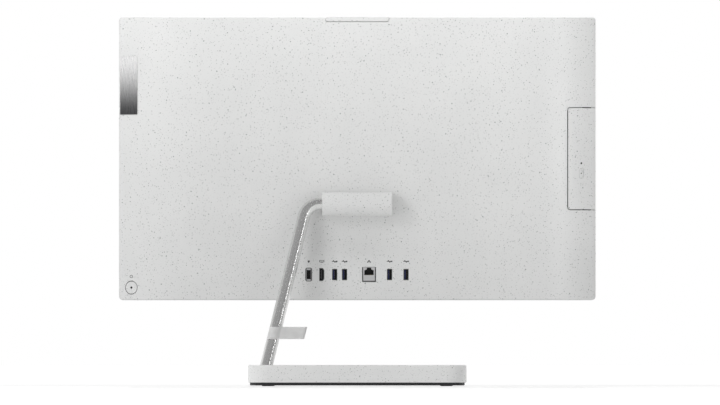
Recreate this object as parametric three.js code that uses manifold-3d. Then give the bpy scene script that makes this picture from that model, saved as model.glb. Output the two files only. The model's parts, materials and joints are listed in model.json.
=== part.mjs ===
// An all-in-one desktop computer. A flat display housing holds the whole computer and tilts on a
// friction hinge at the end of a bent metal tube, which stands in a heavy slab base.
//
// Millimetres, +Z up. The screen faces -Y and the rear cover faces +Y. The origin is on the table,
// under the middle of the base. Pieces of the display are built in the display's own axes, whose
// origin is the bottom of the rear face: there, y is 0 on the flat of the rear cover.

import * as THREE from "three";
import { mergeVertices } from "three/addons/utils/BufferGeometryUtils.js";
import Module from "manifold-3d";

const wasm = await Module();
wasm.setup();

// ---- driving dimensions ----

const GAP = 0.3; // between pieces that rest on each other
const ROUND = 10; // steps in half a turn of a small circle

// Display housing
const DISPLAY_Z = 110.6; // height of the housing's lower edge above the table
const DISPLAY_Y = -8; // the rear face
const FRAME_HALF_WIDTH = 307;
const FRAME_HEIGHT = 364.2;
const FRAME_FRONT = -42;
const FRAME_BACK = -36;
const COVER_INSET = 0.8; // the rear cover is this much smaller than the front frame all round
const COVER_WALL = 2.5;
const COVER_FRONT = FRAME_BACK + GAP;
const FLAT_HALF_WIDTH = 200; // beyond this the rear cover curves towards the screen
const CURVE_RADIUS = 219;
const TOP_CORNER = 3.5;
const BOTTOM_CORNER = 5;

// Screen
const SCREEN_HALF_WIDTH = 302;
const SCREEN_LOW = 15.9;
const SCREEN_HIGH = 356.7;
const GLASS_THICK = 1.5;
const PANEL_THICK = 5.4;

// Hinge
const AXIS_Y = 14; // behind the rear face
const AXIS_Z = 123.4;
const SLEEVE_HALF_LENGTH = 45;
const SLEEVE_RADIUS = 15.5;
const SLEEVE_WALL = 2;
const SHAFT_RADIUS = 5;

// Stand tube, in the object's axes
const TUBE_RADIUS = 8.1;
const TUBE_WALL = 1.8;
const TUBE_INNER_END = -18;
const TUBE_BEND_RADIUS = 21.5;
const TUBE_CORNER_X = 64.6; // where the two straight legs would meet
const TUBE_LEAN_X = 0.2505; // outward travel for each millimetre down
const TUBE_LEAN_Y = 0.2222; // rearward travel for each millimetre down
const TUBE_FOOT_Z = 16;

// Base
const BASE_HALF_WIDTH = 140.2;
const BASE_HALF_DEPTH = 96;
const BASE_CORNER = 26;
const BASE_TOP = 27.1;
const BASE_SHELL_LOW = 4.6;
const BASE_WALL = 3;
const UNDERPLATE_LOW = 0.9;
const UNDERPLATE_INSET = 2.5;
const FOOT_RADIUS = 7.7;
const FOOT_X = 114.5;
const FOOT_Y = 70;

// Cable clip on the tube
const CLIP_LOW = 60.4;
const CLIP_HIGH = 75.9;
const CLIP_REACH = 40;
const CLIP_HALF_THICK = 6.6;
const CLIP_WALL = 1.5;

// Connectors, seen from behind: x is the middle of each, all centred on one line
const PORT_Z = 32.8;
const PORT_BACK = -0.6; // just under the rear face
const BOARD_BACK = -26; // the main board's rear surface
const USB_X = [29.1, 16.4, -41.5, -62.7];
const HDMI_X = 45.7;
const ETHERNET_X = -15.1;
const INLET_X = 62.5;

// Controls
const POWER_X = 291;
const POWER_Z = 16.1;
const POWER_RADIUS = 8;
const EJECT_X = -288.6;
const EJECT_Z = 163.2;
const EJECT_HALF_WIDTH = 2.95;
const EJECT_HALF_HEIGHT = 6.15;
const TRAY_LED_Z = 176.3;

// Optical drive
const BEZEL_INNER_X = -271.4;
const BEZEL_LOW = 116.9;
const BEZEL_HIGH = 247.3;
const BEZEL_GAP = 0.8;
const BEZEL_CORNER = 2.5;
const DISC_X = -239;
const DISC_WELL_RADIUS = 60.2;

// Pop-up camera bar
const CAMERA_HALF_WIDTH = 40.2;
const CAMERA_LOW = 358.6;
const CAMERA_NOTCH_GAP = 0.5;
const CAMERA_CORNER = 2;
const CAMERA_LENS_Z = 353.2;

// Fan
const FAN_X = 160;
const FAN_Z = 270;
const FAN_RADIUS = 33;
const BLADE_COUNT = 18;

// ---- shapes and solids ----

// A boolean solid from a three.js geometry.
function solidOf(geometry) {
  const bare = geometry.index ? geometry.toNonIndexed() : geometry.clone();
  bare.deleteAttribute("normal");
  bare.deleteAttribute("uv");
  const merged = mergeVertices(bare, 1e-4);
  const index = merged.index.array;
  const triangles = [];
  for (let i = 0; i < index.length; i += 3) {
    const [a, b, c] = [index[i], index[i + 1], index[i + 2]];
    if (a !== b && b !== c && a !== c) triangles.push(a, b, c);
  }
  const mesh = new wasm.Mesh({
    numProp: 3,
    vertProperties: merged.attributes.position.array,
    triVerts: new Uint32Array(triangles),
  });
  return new wasm.Manifold(mesh);
}

// A three.js geometry from a boolean solid.
function geometryOf(solid) {
  const mesh = solid.getMesh();
  const geometry = new THREE.BufferGeometry();
  geometry.setAttribute("position", new THREE.BufferAttribute(mesh.vertProperties, 3));
  geometry.setIndex(new THREE.BufferAttribute(mesh.triVerts, 1));
  geometry.computeVertexNormals();
  return geometry;
}

function join(...pieces) {
  return geometryOf(pieces.map(solidOf).reduce((sum, piece) => sum.add(piece)));
}

function cut(body, ...tools) {
  return geometryOf(tools.map(solidOf).reduce((rest, tool) => rest.subtract(tool), solidOf(body)));
}

function common(first, second) {
  return geometryOf(solidOf(first).intersect(solidOf(second)));
}

function block([x0, x1], [y0, y1], [z0, z1]) {
  const box = new THREE.BoxGeometry(x1 - x0, y1 - y0, z1 - z0);
  return box.translate((x0 + x1) / 2, (y0 + y1) / 2, (z0 + z1) / 2);
}

// The directions that a drawing's x, its y and its depth take when it is extruded along an axis.
const DRAWING_AXES = {
  x: [new THREE.Vector3(0, 1, 0), new THREE.Vector3(0, 0, 1), new THREE.Vector3(1, 0, 0)],
  y: [new THREE.Vector3(1, 0, 0), new THREE.Vector3(0, 0, 1), new THREE.Vector3(0, -1, 0)],
  z: [new THREE.Vector3(1, 0, 0), new THREE.Vector3(0, 1, 0), new THREE.Vector3(0, 0, 1)],
};

// A drawing extruded along an axis from low to high. Along x the drawing is in y and z, along y
// it is in x and z, and along z it is in x and y.
function prism(shape, axis, low, high, curveSegments = ROUND / 2) {
  const depth = high - low;
  const solid = new THREE.ExtrudeGeometry(shape, { depth, bevelEnabled: false, curveSegments });
  const start = axis === "y" ? high : low;
  const place = new THREE.Matrix4().makeBasis(...DRAWING_AXES[axis]);
  const [dx, dy, dz] = [axis === "x" ? start : 0, axis === "y" ? start : 0, axis === "z" ? start : 0];
  return solid.applyMatrix4(place).translate(dx, dy, dz);
}

function circle(radius, x = 0, y = 0) {
  return new THREE.Shape().absarc(x, y, radius, 0, 2 * Math.PI);
}

function rod(radius, axis, low, high, x = 0, y = 0, curveSegments = ROUND) {
  return prism(circle(radius, x, y), axis, low, high, curveSegments);
}

// A rectangle with rounded corners; the lower and upper corners may differ.
function roundedRect([x0, x1], [y0, y1], low, high = low) {
  const shape = new THREE.Shape();
  shape.absarc(x0 + low, y0 + low, low, Math.PI, 1.5 * Math.PI);
  shape.absarc(x1 - low, y0 + low, low, 1.5 * Math.PI, 2 * Math.PI);
  shape.absarc(x1 - high, y1 - high, high, 0, 0.5 * Math.PI);
  shape.absarc(x0 + high, y1 - high, high, 0.5 * Math.PI, Math.PI);
  return shape;
}

// A D: straight sides from yStart to the axis, then half a circle. Drawn in y and z.
function dShape(yStart, radius) {
  const shape = new THREE.Shape();
  shape.moveTo(yStart, AXIS_Z - radius);
  shape.lineTo(AXIS_Y, AXIS_Z - radius);
  shape.absarc(AXIS_Y, AXIS_Z, radius, -Math.PI / 2, Math.PI / 2);
  shape.lineTo(yStart, AXIS_Z + radius);
  return shape;
}

// A turned piece about the y axis, from a profile of [radius, y] points that climbs.
function turned(profile, sides = 2 * ROUND) {
  const points = profile.map(([radius, y]) => new THREE.Vector2(radius, y));
  return new THREE.LatheGeometry(points, sides);
}

// A path of two straight legs joined by one round bend. Each station is one step of a sweep.
class BentPath extends THREE.Curve {
  constructor(start, corner, end, radius, bendSteps) {
    super();
    const intoCorner = corner.clone().sub(start).normalize();
    const outOfCorner = end.clone().sub(corner).normalize();
    this.turn = intoCorner.angleTo(outOfCorner);
    const setback = radius * Math.tan(this.turn / 2);
    this.start = start;
    this.end = end;
    this.bendStart = corner.clone().addScaledVector(intoCorner, -setback);
    this.bendEnd = corner.clone().addScaledVector(outOfCorner, setback);
    this.pivotAxis = intoCorner.clone().cross(outOfCorner).normalize();
    const inward = this.pivotAxis.clone().cross(intoCorner);
    this.centre = this.bendStart.clone().addScaledVector(inward, radius);
    this.steps = bendSteps + 2;
  }

  getPoint(t) {
    const station = t * this.steps;
    const lastBend = this.steps - 1;
    if (station <= 1) return this.start.clone().lerp(this.bendStart, station);
    if (station >= lastBend) return this.bendEnd.clone().lerp(this.end, station - lastBend);
    const angle = (this.turn * (station - 1)) / (this.steps - 2);
    const arm = this.bendStart.clone().sub(this.centre);
    return arm.applyAxisAngle(this.pivotAxis, angle).add(this.centre);
  }

  getPointAt(t) {
    return this.getPoint(t);
  }

  getTangentAt(t) {
    return this.getTangent(t);
  }
}

function sweep(shape, path, curveSegments = ROUND) {
  return new THREE.ExtrudeGeometry(shape, { steps: path.steps, extrudePath: path, curveSegments });
}

// ---- finished meshes ----

const FINISHES = {
  speckledPlastic: { color: 0xe6e7e5, roughness: 0.55, metalness: 0 },
  metalTube: { color: 0xa8a8a6, roughness: 0.32, metalness: 1 },
  clearGrey: { color: 0xb9bbba, roughness: 0.4, metalness: 0 },
  blackPlastic: { color: 0x1c1c1d, roughness: 0.6, metalness: 0 },
  rubber: { color: 0x262626, roughness: 0.9, metalness: 0 },
  glass: { color: 0x08090b, roughness: 0.08, metalness: 0 },
  steel: { color: 0x9a9c9e, roughness: 0.4, metalness: 1 },
  shinySteel: { color: 0xc4c6c8, roughness: 0.25, metalness: 1 },
  copper: { color: 0xb06a3c, roughness: 0.3, metalness: 1 },
  aluminium: { color: 0xb8babc, roughness: 0.45, metalness: 1 },
  board: { color: 0x1d3b2a, roughness: 0.6, metalness: 0 },
  namePlate: { color: 0x9b9b9b, roughness: 0.3, metalness: 1 },
};

function piece(name, geometry, finish) {
  const material = new THREE.MeshStandardMaterial(FINISHES[finish]);
  const mesh = new THREE.Mesh(geometryOf(solidOf(geometry)), material);
  mesh.name = name;
  return mesh;
}

function moved(mesh, x, y, z) {
  mesh.position.set(x, y, z);
  return mesh;
}

// ---- base ----

function baseOutline(inset) {
  const [halfWidth, halfDepth] = [BASE_HALF_WIDTH - inset, BASE_HALF_DEPTH - inset];
  return roundedRect([-halfWidth, halfWidth], [-halfDepth, halfDepth], BASE_CORNER - inset);
}

const BASE_SCREWS = [[-80, -87.5], [80, -87.5], [0, 87.5]];
const SCREW_HEAD_RADIUS = 3.2;
const SCREW_SHANK_RADIUS = 1.2;
const SCREW_TIP_Z = 14;

function tubePointAt(z) {
  const drop = DISPLAY_Z + AXIS_Z - z;
  const axisY = DISPLAY_Y + AXIS_Y;
  return new THREE.Vector3(TUBE_CORNER_X + TUBE_LEAN_X * drop, axisY + TUBE_LEAN_Y * drop, z);
}

// The straight run of the tube from one height to another, at any radius, for cutting its holes.
function tubeClearance(radius, low, high) {
  const path = new THREE.LineCurve3(tubePointAt(high), tubePointAt(low));
  return new THREE.ExtrudeGeometry(circle(radius), {
    steps: 1,
    extrudePath: path,
    curveSegments: ROUND + 2,
  });
}

function baseShell() {
  const fillet = 1.8;
  const slab = new THREE.ExtrudeGeometry(baseOutline(fillet), {
    depth: BASE_TOP - 2 * fillet,
    bevelThickness: fillet,
    bevelSize: fillet,
    bevelSegments: 2,
    curveSegments: 6,
  }).translate(0, 0, fillet);
  const below = block([-200, 200], [-200, 200], [-1, BASE_SHELL_LOW]);
  const hollow = prism(baseOutline(BASE_WALL), "z", 0, BASE_TOP - BASE_WALL);
  const bosses = BASE_SCREWS.map(([x, y]) =>
    rod(3.6, "z", BASE_SHELL_LOW + GAP, BASE_TOP - BASE_WALL + 1, x, y, 6),
  );
  const pilots = BASE_SCREWS.map(([x, y]) =>
    rod(SCREW_SHANK_RADIUS + GAP, "z", 0, SCREW_TIP_Z + 1, x, y, 4),
  );
  const tubeHole = tubeClearance(TUBE_RADIUS + GAP, 5, BASE_TOP + 20);
  return cut(join(cut(slab, below, hollow), ...bosses), ...pilots, tubeHole);
}

const FEET = [[-1, -1], [1, -1], [1, 1], [-1, 1]].map(([x, y]) => [x * FOOT_X, y * FOOT_Y]);
const FOOT_POCKET_TOP = UNDERPLATE_LOW + 1;

function baseUnderplate() {
  const chamfer = 0.9;
  const plate = new THREE.ExtrudeGeometry(baseOutline(UNDERPLATE_INSET + chamfer), {
    depth: BASE_SHELL_LOW - GAP - UNDERPLATE_LOW,
    bevelThickness: chamfer,
    bevelSize: chamfer,
    bevelSegments: 1,
    curveSegments: 6,
  }).translate(0, 0, UNDERPLATE_LOW + chamfer);
  const above = block([-200, 200], [-200, 200], [BASE_SHELL_LOW - GAP, 20]);
  const pockets = FEET.map(([x, y]) => rod(FOOT_RADIUS + GAP, "z", 0, FOOT_POCKET_TOP, x, y));
  const holes = BASE_SCREWS.map(([x, y]) => rod(SCREW_HEAD_RADIUS + GAP, "z", 0, 10, x, y));
  return cut(plate, above, ...pockets, ...holes);
}

function rubberFoot(number, x, y) {
  const top = FOOT_POCKET_TOP - GAP;
  const profile = [[0, 0], [FOOT_RADIUS - 0.4, 0], [FOOT_RADIUS, 0.4], [FOOT_RADIUS, top], [0, top]];
  const foot = turned(profile, 32).rotateX(Math.PI / 2);
  return moved(piece(`rubber_foot_${number}`, foot, "rubber"), x, y, 0);
}

function baseScrew(number, x, y) {
  const headLow = UNDERPLATE_LOW + GAP;
  const headHigh = BASE_SHELL_LOW - 1;
  const head = rod(SCREW_HEAD_RADIUS, "z", headLow, headHigh);
  const slot = block([-2.2, 2.2], [-0.5, 0.5], [0, headLow + 0.7]);
  const crossSlot = block([-0.5, 0.5], [-2.2, 2.2], [0, headLow + 0.7]);
  const shank = rod(SCREW_SHANK_RADIUS, "z", headHigh - 0.5, SCREW_TIP_Z, 0, 0, 4);
  const screw = cut(join(head, shank), slot, crossSlot);
  return moved(piece(`base_screw_${number}`, screw, "steel"), x, y, 0);
}

const WEIGHT_TOP = 10.5;

function baseWeight() {
  return prism(roundedRect([-124, 124], [-78, 78], 14), "z", BASE_SHELL_LOW + 0.4, WEIGHT_TOP);
}

function tubeSocket() {
  const body = roundedRect([103, 135], [39, 70], 5);
  const solid = prism(body, "z", WEIGHT_TOP + GAP, BASE_TOP - BASE_WALL - GAP);
  return cut(solid, tubeClearance(TUBE_RADIUS + GAP, TUBE_FOOT_Z - 4, BASE_TOP + 10));
}

// ---- stand tube and cable clip ----

function standTube() {
  const height = DISPLAY_Z + AXIS_Z;
  const axisY = DISPLAY_Y + AXIS_Y;
  const start = new THREE.Vector3(TUBE_INNER_END, axisY, height);
  const corner = new THREE.Vector3(TUBE_CORNER_X, axisY, height);
  const bendSteps = 10;
  const path = new BentPath(start, corner, tubePointAt(TUBE_FOOT_Z), TUBE_BEND_RADIUS, bendSteps);
  const wall = circle(TUBE_RADIUS);
  wall.holes.push(new THREE.Path().absarc(0, 0, TUBE_RADIUS - TUBE_WALL, 0, 2 * Math.PI, true));
  return sweep(wall, path, ROUND + 2);
}

// A band that snaps over the tube from one side, with a flat loop beside it that holds cables.
// Its ends follow the lean of the tube and its upper and lower edges stay level.
function cableClip() {
  const height = CLIP_HIGH - CLIP_LOW;
  const bandRadius = TUBE_RADIUS + 1.6;
  const inner = CLIP_HALF_THICK - CLIP_WALL;
  const band = prism(circle(bandRadius), "z", 0, height, ROUND);
  const loopShape = roundedRect([-CLIP_REACH, 0], [-CLIP_HALF_THICK, CLIP_HALF_THICK], 2.5);
  const loop = prism(loopShape, "z", 0, height);
  const slotEnds = [-CLIP_REACH + CLIP_WALL, -bandRadius - CLIP_WALL];
  const slot = prism(roundedRect(slotEnds, [-inner, inner], 1.2), "z", -1, height + 1);
  const mouth = block([TUBE_RADIUS - 0.5, 30], [-30, 30], [-1, height + 1]);
  const upright = cut(join(band, loop), slot, mouth);
  const lean = new THREE.Matrix4().makeShear(0, 0, 0, 0, -TUBE_LEAN_X, -TUBE_LEAN_Y);
  const foot = tubePointAt(CLIP_LOW);
  const leaning = upright.applyMatrix4(lean).translate(foot.x, foot.y, foot.z);
  return cut(leaning, tubeClearance(TUBE_RADIUS + GAP, CLIP_LOW - 20, CLIP_HIGH + 20));
}

// ---- hinge ----

const ARM_RADIUS = 11.3;
const BRACKET_BACK = -30.2;
const TUBE_ARM = [20, 34];
const SHAFT_ARM = [-36, -24];

// A plate on the chassis with two arms: the tube turns in one and its shaft in the other.
function hingeBracket() {
  const plate = prism(roundedRect([-58, 58], [108, 150], 5), "y", -32.4, BRACKET_BACK);
  const tubeArm = prism(dShape(BRACKET_BACK - 1, ARM_RADIUS), "x", ...TUBE_ARM);
  const shaftArm = prism(dShape(BRACKET_BACK - 1, ARM_RADIUS), "x", ...SHAFT_ARM);
  const tubeBore = rod(TUBE_RADIUS + 0.4, "x", TUBE_ARM[0] - 1, TUBE_ARM[1] + 1, AXIS_Y, AXIS_Z);
  const shaftBore = rod(SHAFT_RADIUS + 0.4, "x", SHAFT_ARM[0] - 1, SHAFT_ARM[1] + 1, AXIS_Y, AXIS_Z);
  return cut(join(plate, tubeArm, shaftArm), tubeBore, shaftBore);
}

// The D-shaped sleeve over the hinge: closed at one end, with a hole for the tube at the other.
function hingeCover() {
  const half = SLEEVE_HALF_LENGTH;
  const inner = SLEEVE_RADIUS - SLEEVE_WALL;
  const outside = prism(dShape(GAP, SLEEVE_RADIUS), "x", -half, half, 8);
  const inside = prism(dShape(-5, inner), "x", -half + SLEEVE_WALL, half - SLEEVE_WALL, 8);
  const mouth = rod(TUBE_RADIUS + 0.5, "x", half - 5, half + 5, AXIS_Y, AXIS_Z);
  return cut(outside, inside, mouth);
}

// A plug in the end of the tube that narrows to the hinge's shaft. Turned about x.
function hingeShaft() {
  const plug = TUBE_RADIUS - TUBE_WALL - GAP;
  const shoulder = TUBE_INNER_END - GAP;
  const profile = [
    [0, -42],
    [SHAFT_RADIUS, -42],
    [SHAFT_RADIUS, shoulder - 3],
    [7.5, shoulder - 3],
    [7.5, shoulder],
    [plug, shoulder],
    [plug, 10],
    [0, 10],
  ];
  return turned(profile).rotateZ(-Math.PI / 2);
}

function hingeWasher() {
  return cut(rod(9, "x", -38.1, -36.3), rod(SHAFT_RADIUS + GAP, "x", -50, -30));
}

function hingeNut() {
  const hexagon = prism(circle(8), "x", -41.5, -38.4, 3);
  return cut(hexagon, rod(SHAFT_RADIUS + GAP, "x", -50, -30));
}

// ---- display housing ----

// The housing's section across x, drawn in x and y: flat in the middle, with a round shoulder
// that falls away towards each side.
function coverSection(halfWidth, inset) {
  const radius = CURVE_RADIUS - inset;
  const centreY = -CURVE_RADIUS;
  const reach = Math.acos((halfWidth - FLAT_HALF_WIDTH) / radius);
  const shape = new THREE.Shape();
  shape.moveTo(-halfWidth, COVER_FRONT - inset);
  shape.lineTo(halfWidth, COVER_FRONT - inset);
  shape.absarc(FLAT_HALF_WIDTH, centreY, radius, reach, Math.PI / 2);
  shape.absarc(-FLAT_HALF_WIDTH, centreY, radius, Math.PI / 2, Math.PI - reach);
  return shape;
}

function coverSolid(inset) {
  const halfWidth = FRAME_HALF_WIDTH - COVER_INSET - inset;
  const [low, high] = [COVER_INSET + inset, FRAME_HEIGHT - COVER_INSET - inset];
  const corners = [Math.max(BOTTOM_CORNER - inset, 1), Math.max(TOP_CORNER - inset, 1)];
  const across = prism(coverSection(halfWidth, inset), "z", low, high, 12);
  const outline = prism(roundedRect([-halfWidth, halfWidth], [low, high], ...corners), "y", -60, 20);
  return common(across, outline);
}

// How far the rear cover's surface has fallen at x, and the angle of its outward normal.
function surfaceAt(x) {
  const past = Math.max(Math.abs(x) - FLAT_HALF_WIDTH, 0);
  const y = Math.sqrt(CURVE_RADIUS ** 2 - past ** 2) - CURVE_RADIUS;
  const angle = -Math.sign(x) * Math.asin(past / CURVE_RADIUS);
  return { y, angle };
}

// Moves a geometry whose outward direction is +y from the origin to the surface at x and z.
function onSurface(geometry, x, z) {
  const { y, angle } = surfaceAt(x);
  return geometry.rotateZ(angle).translate(x, y, z);
}

function placeOnSurface(mesh, x, z) {
  const { y, angle } = surfaceAt(x);
  mesh.position.set(x, y, z);
  mesh.rotation.z = angle;
  return mesh;
}

const coverShell = cut(coverSolid(0), coverSolid(COVER_WALL));

function bezelPrism(grow) {
  const [low, high] = [BEZEL_LOW - grow, BEZEL_HIGH + grow];
  const outline = roundedRect([-330, BEZEL_INNER_X + grow], [low, high], BEZEL_CORNER + grow);
  return prism(outline, "y", -50, 10);
}

function cameraNotch(grow, low = CAMERA_LOW) {
  const half = CAMERA_HALF_WIDTH + grow;
  const outline = roundedRect([-half, half], [low - grow, FRAME_HEIGHT + 20], CAMERA_CORNER);
  return prism(outline, "y", -60, 20);
}

// Rows of slots through the housing's top or bottom wall.
function ventSlots(first, last, pitch, z) {
  const slots = [];
  for (let x = first; x <= last; x += pitch) {
    slots.push(block([x - 1.8, x + 1.8], [-28, -12], [z - 4, z + 4]));
  }
  return slots;
}

const OUTLINES = {
  usb: () => roundedRect([-2.9, 2.9], [-6.85, 6.85], 0.5),
  hdmi: () => chamferedShape(2.8, 7.95, 1.9),
  ethernet: () => roundedRect([-8.55, 8.55], [-9.3, 9.3], 0.4),
  inlet: () => chamferedBothShape(3.9, 8.45, 1.6),
};

// A connector outline with two cut corners on its -x side.
function chamferedShape(halfWidth, halfHeight, chamfer) {
  const shape = new THREE.Shape();
  shape.moveTo(halfWidth, -halfHeight);
  shape.lineTo(halfWidth, halfHeight);
  shape.lineTo(-halfWidth + chamfer, halfHeight);
  shape.lineTo(-halfWidth, halfHeight - 1.4 * chamfer);
  shape.lineTo(-halfWidth, -halfHeight + 1.4 * chamfer);
  shape.lineTo(-halfWidth + chamfer, -halfHeight);
  return shape;
}

// A connector outline with all four corners cut.
function chamferedBothShape(halfWidth, halfHeight, chamfer) {
  const shape = new THREE.Shape();
  shape.moveTo(halfWidth, -halfHeight + chamfer);
  shape.lineTo(halfWidth, halfHeight - chamfer);
  shape.lineTo(halfWidth - chamfer, halfHeight);
  shape.lineTo(-halfWidth + chamfer, halfHeight);
  shape.lineTo(-halfWidth, halfHeight - chamfer);
  shape.lineTo(-halfWidth, -halfHeight + chamfer);
  shape.lineTo(-halfWidth + chamfer, -halfHeight);
  shape.lineTo(halfWidth - chamfer, -halfHeight);
  return shape;
}

// The hole in the cover round a connector: the same outline, a little larger.
function portHole(kind, x) {
  const tool = prism(OUTLINES[kind](), "y", -20, 10);
  const { max } = new THREE.Box3().setFromBufferAttribute(tool.attributes.position);
  return tool.scale(1 + GAP / max.x, 1, 1 + GAP / max.z).translate(x, 0, PORT_Z);
}

function rearCover() {
  const ports = [
    ...USB_X.map((x) => portHole("usb", x)),
    portHole("hdmi", HDMI_X),
    portHole("ethernet", ETHERNET_X),
    portHole("inlet", INLET_X),
  ];
  const hingeOpening = block([-40, 40], [-10, 10], [AXIS_Z - 12.3, AXIS_Z + 12.3]);
  const powerHole = onSurface(rod(POWER_RADIUS + 0.55, "y", -8, 8), POWER_X, POWER_Z);
  const vents = [
    ...ventSlots(92, 228, 8, FRAME_HEIGHT - 2),
    ...ventSlots(-228, -92, 8, FRAME_HEIGHT - 2),
    ...ventSlots(-156, 156, 8, 2),
  ];
  const openings = [bezelPrism(BEZEL_GAP), cameraNotch(CAMERA_NOTCH_GAP), hingeOpening, powerHole];
  return cut(coverShell, ...openings, ...ports, ...vents);
}

function frontFrame() {
  const half = FRAME_HALF_WIDTH;
  const outline = roundedRect([-half, half], [0, FRAME_HEIGHT], BOTTOM_CORNER, TOP_CORNER);
  const slab = prism(outline, "y", FRAME_FRONT, FRAME_BACK);
  const window = roundedRect(
    [-SCREEN_HALF_WIDTH, SCREEN_HALF_WIDTH],
    [SCREEN_LOW, SCREEN_HIGH],
    1.5,
  );
  return cut(slab, prism(window, "y", -60, 0), cameraNotch(0.4));
}

function screenLayer(front, thickness, inset) {
  const half = SCREEN_HALF_WIDTH - inset;
  const outline = roundedRect([-half, half], [SCREEN_LOW + inset, SCREEN_HIGH - inset], 1.2);
  return prism(outline, "y", front, front + thickness);
}

const PLATE_FRONT = -33.9;
const PLATE_BACK = -32.7;

// A pressed steel sheet behind the panel, with folded edges, that everything inside bolts to.
function chassisPlate() {
  const sheet = block([-290, 290], [PLATE_FRONT, PLATE_BACK], [8, 350]);
  const lowerEdge = block([-270, 270], [PLATE_BACK - 0.5, -29.5], [8, 9.2]);
  const upperLeft = block([60, 280], [PLATE_BACK - 0.5, -29.5], [348.8, 350]);
  const upperRight = block([-280, -60], [PLATE_BACK - 0.5, -29.5], [348.8, 350]);
  const windows = [-150, 150].map((x) =>
    prism(roundedRect([x - 40, x + 40], [215, 228], 4), "y", -40, -20),
  );
  return cut(join(sheet, lowerEdge, upperLeft, upperRight), ...windows);
}

function namePlate() {
  const [low, high] = [239, 314.1];
  const [inner, outer] = [283.1, 305.2];
  const band = cut(
    prism(coverSection(FRAME_HALF_WIDTH + 2, -1.1), "z", low, high, 16),
    prism(coverSection(FRAME_HALF_WIDTH + 3, -GAP), "z", low - 1, high + 1, 16),
  );
  return common(band, block([inner, outer], [-35, 5], [low - 1, high + 1]));
}

// ---- connectors: each faces +y, with its middle at the origin's x and z ----

const PORT_FLOOR = BOARD_BACK + GAP;

function usbPort() {
  const shell = prism(OUTLINES.usb(), "y", PORT_FLOOR, PORT_BACK);
  const socket = prism(roundedRect([-2.5, 2.5], [-6.45, 6.45], 0.3), "y", -14, 5);
  const tongue = block([0.2, 2.1], [-15, PORT_BACK - 2], [-5.5, 5.5]);
  return join(cut(shell, socket), tongue);
}

function hdmiPort() {
  const shell = prism(OUTLINES.hdmi(), "y", PORT_FLOOR, PORT_BACK);
  const socket = prism(chamferedShape(2.4, 7.55, 1.8), "y", -14, 5);
  const tongue = block([-0.4, 0.9], [-15, PORT_BACK - 2.5], [-6, 6]);
  return join(cut(shell, socket), tongue);
}

const PLUG_HALF_WIDTH = 5.9;
const PLUG_LOW = -0.2;
const PLUG_HIGH = 6.9;

function ethernetPort() {
  const shell = prism(OUTLINES.ethernet(), "y", PORT_FLOOR, PORT_BACK);
  const plugSpace = block([-PLUG_HALF_WIDTH, PLUG_HALF_WIDTH], [-18, 5], [PLUG_LOW, PLUG_HIGH]);
  const latchSpace = block([-3.1, 3.1], [-18, 5], [PLUG_HIGH - 1, 9.0]);
  return cut(shell, plugSpace, latchSpace);
}

function powerInlet() {
  const shell = prism(OUTLINES.inlet(), "y", PORT_FLOOR, PORT_BACK);
  const socket = prism(roundedRect([-2.5, 2.5], [-5.4, 5.4], 0.6), "y", -12, 5);
  return cut(shell, socket);
}

// ---- inside the housing ----

// An L-shaped board on stand-offs. The processor's half stands beside the hinge.
function mainBoard() {
  const outline = new THREE.Shape();
  outline.moveTo(-100, 14);
  outline.lineTo(190, 14);
  outline.lineTo(190, 200);
  outline.lineTo(66, 200);
  outline.lineTo(66, 104);
  outline.lineTo(-100, 104);
  const board = prism(outline, "y", BOARD_BACK - 1.6, BOARD_BACK);
  const posts = [[-92, 22], [182, 22], [182, 192], [74, 192], [-92, 96]].map(([x, z]) =>
    prism(circle(2.6, x, z), "y", PLATE_BACK + GAP, BOARD_BACK - 1, 3),
  );
  const memorySockets = block([-96, -26], [BOARD_BACK - 0.5, -18], [91, 95]);
  const coils = [72, 80, 88].map((x) =>
    block([x - 3, x + 3], [BOARD_BACK - 0.5, BOARD_BACK + 5], [106, 112]),
  );
  return join(board, ...posts, memorySockets, ...coils);
}

const inside = {
  cpu: [block([106, 144], [BOARD_BACK + GAP, -22.7], [131, 169]), "steel"],
  cpu_heatsink: [block([95, 155], [-22.4, -16.4], [120, 180]), "aluminium"],
  ram_module_1: [block([-95, -27], [-25, -22.8], [60, 90.7]), "board"],
  ram_module_2: [block([-95, -27], [-21, -18.8], [60, 90.7]), "board"],
  m2_ssd: [block([-18, 62], [-24.5, -22.1], [55, 77]), "board"],
  wifi_card: [block([-18, 12], [-24.5, -22.1], [80, 102]), "board"],
  cmos_battery: [rod(10, "y", BOARD_BACK + GAP, -22.5, 165, 45), "shinySteel"],
  storage_drive: [block([-232, -132], [-30.4, -23.4], [34.5, 104]), "aluminium"],
};

function storageCaddy() {
  const tray = block([-235, -129], [-32.4, -25], [33, 105.5]);
  const hollow = block([-232.4, -131.6], [-30.8, -20], [34.1, 104.4]);
  const openEnd = block([-140, -120], [-30.8, -20], [40, 98]);
  return cut(tray, hollow, openEnd);
}

const SPEAKER_X = 236;

// A sealed enclosure with its driver facing down at the housing's lower edge.
function speaker(side) {
  const enclosure = block([-42, 42], [-32.3, -20.5], [11, 32]);
  const driver = rod(5, "z", 9.8, 12, -20, -26.4);
  const port = rod(3, "z", 10, 14, 25, -26.4);
  return cut(join(enclosure, driver), port).translate(side * SPEAKER_X, 0, 0);
}

const FAN_FRONT = -22;
const FAN_BACK = -8;
const FAN_WALL = 1.2;

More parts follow.
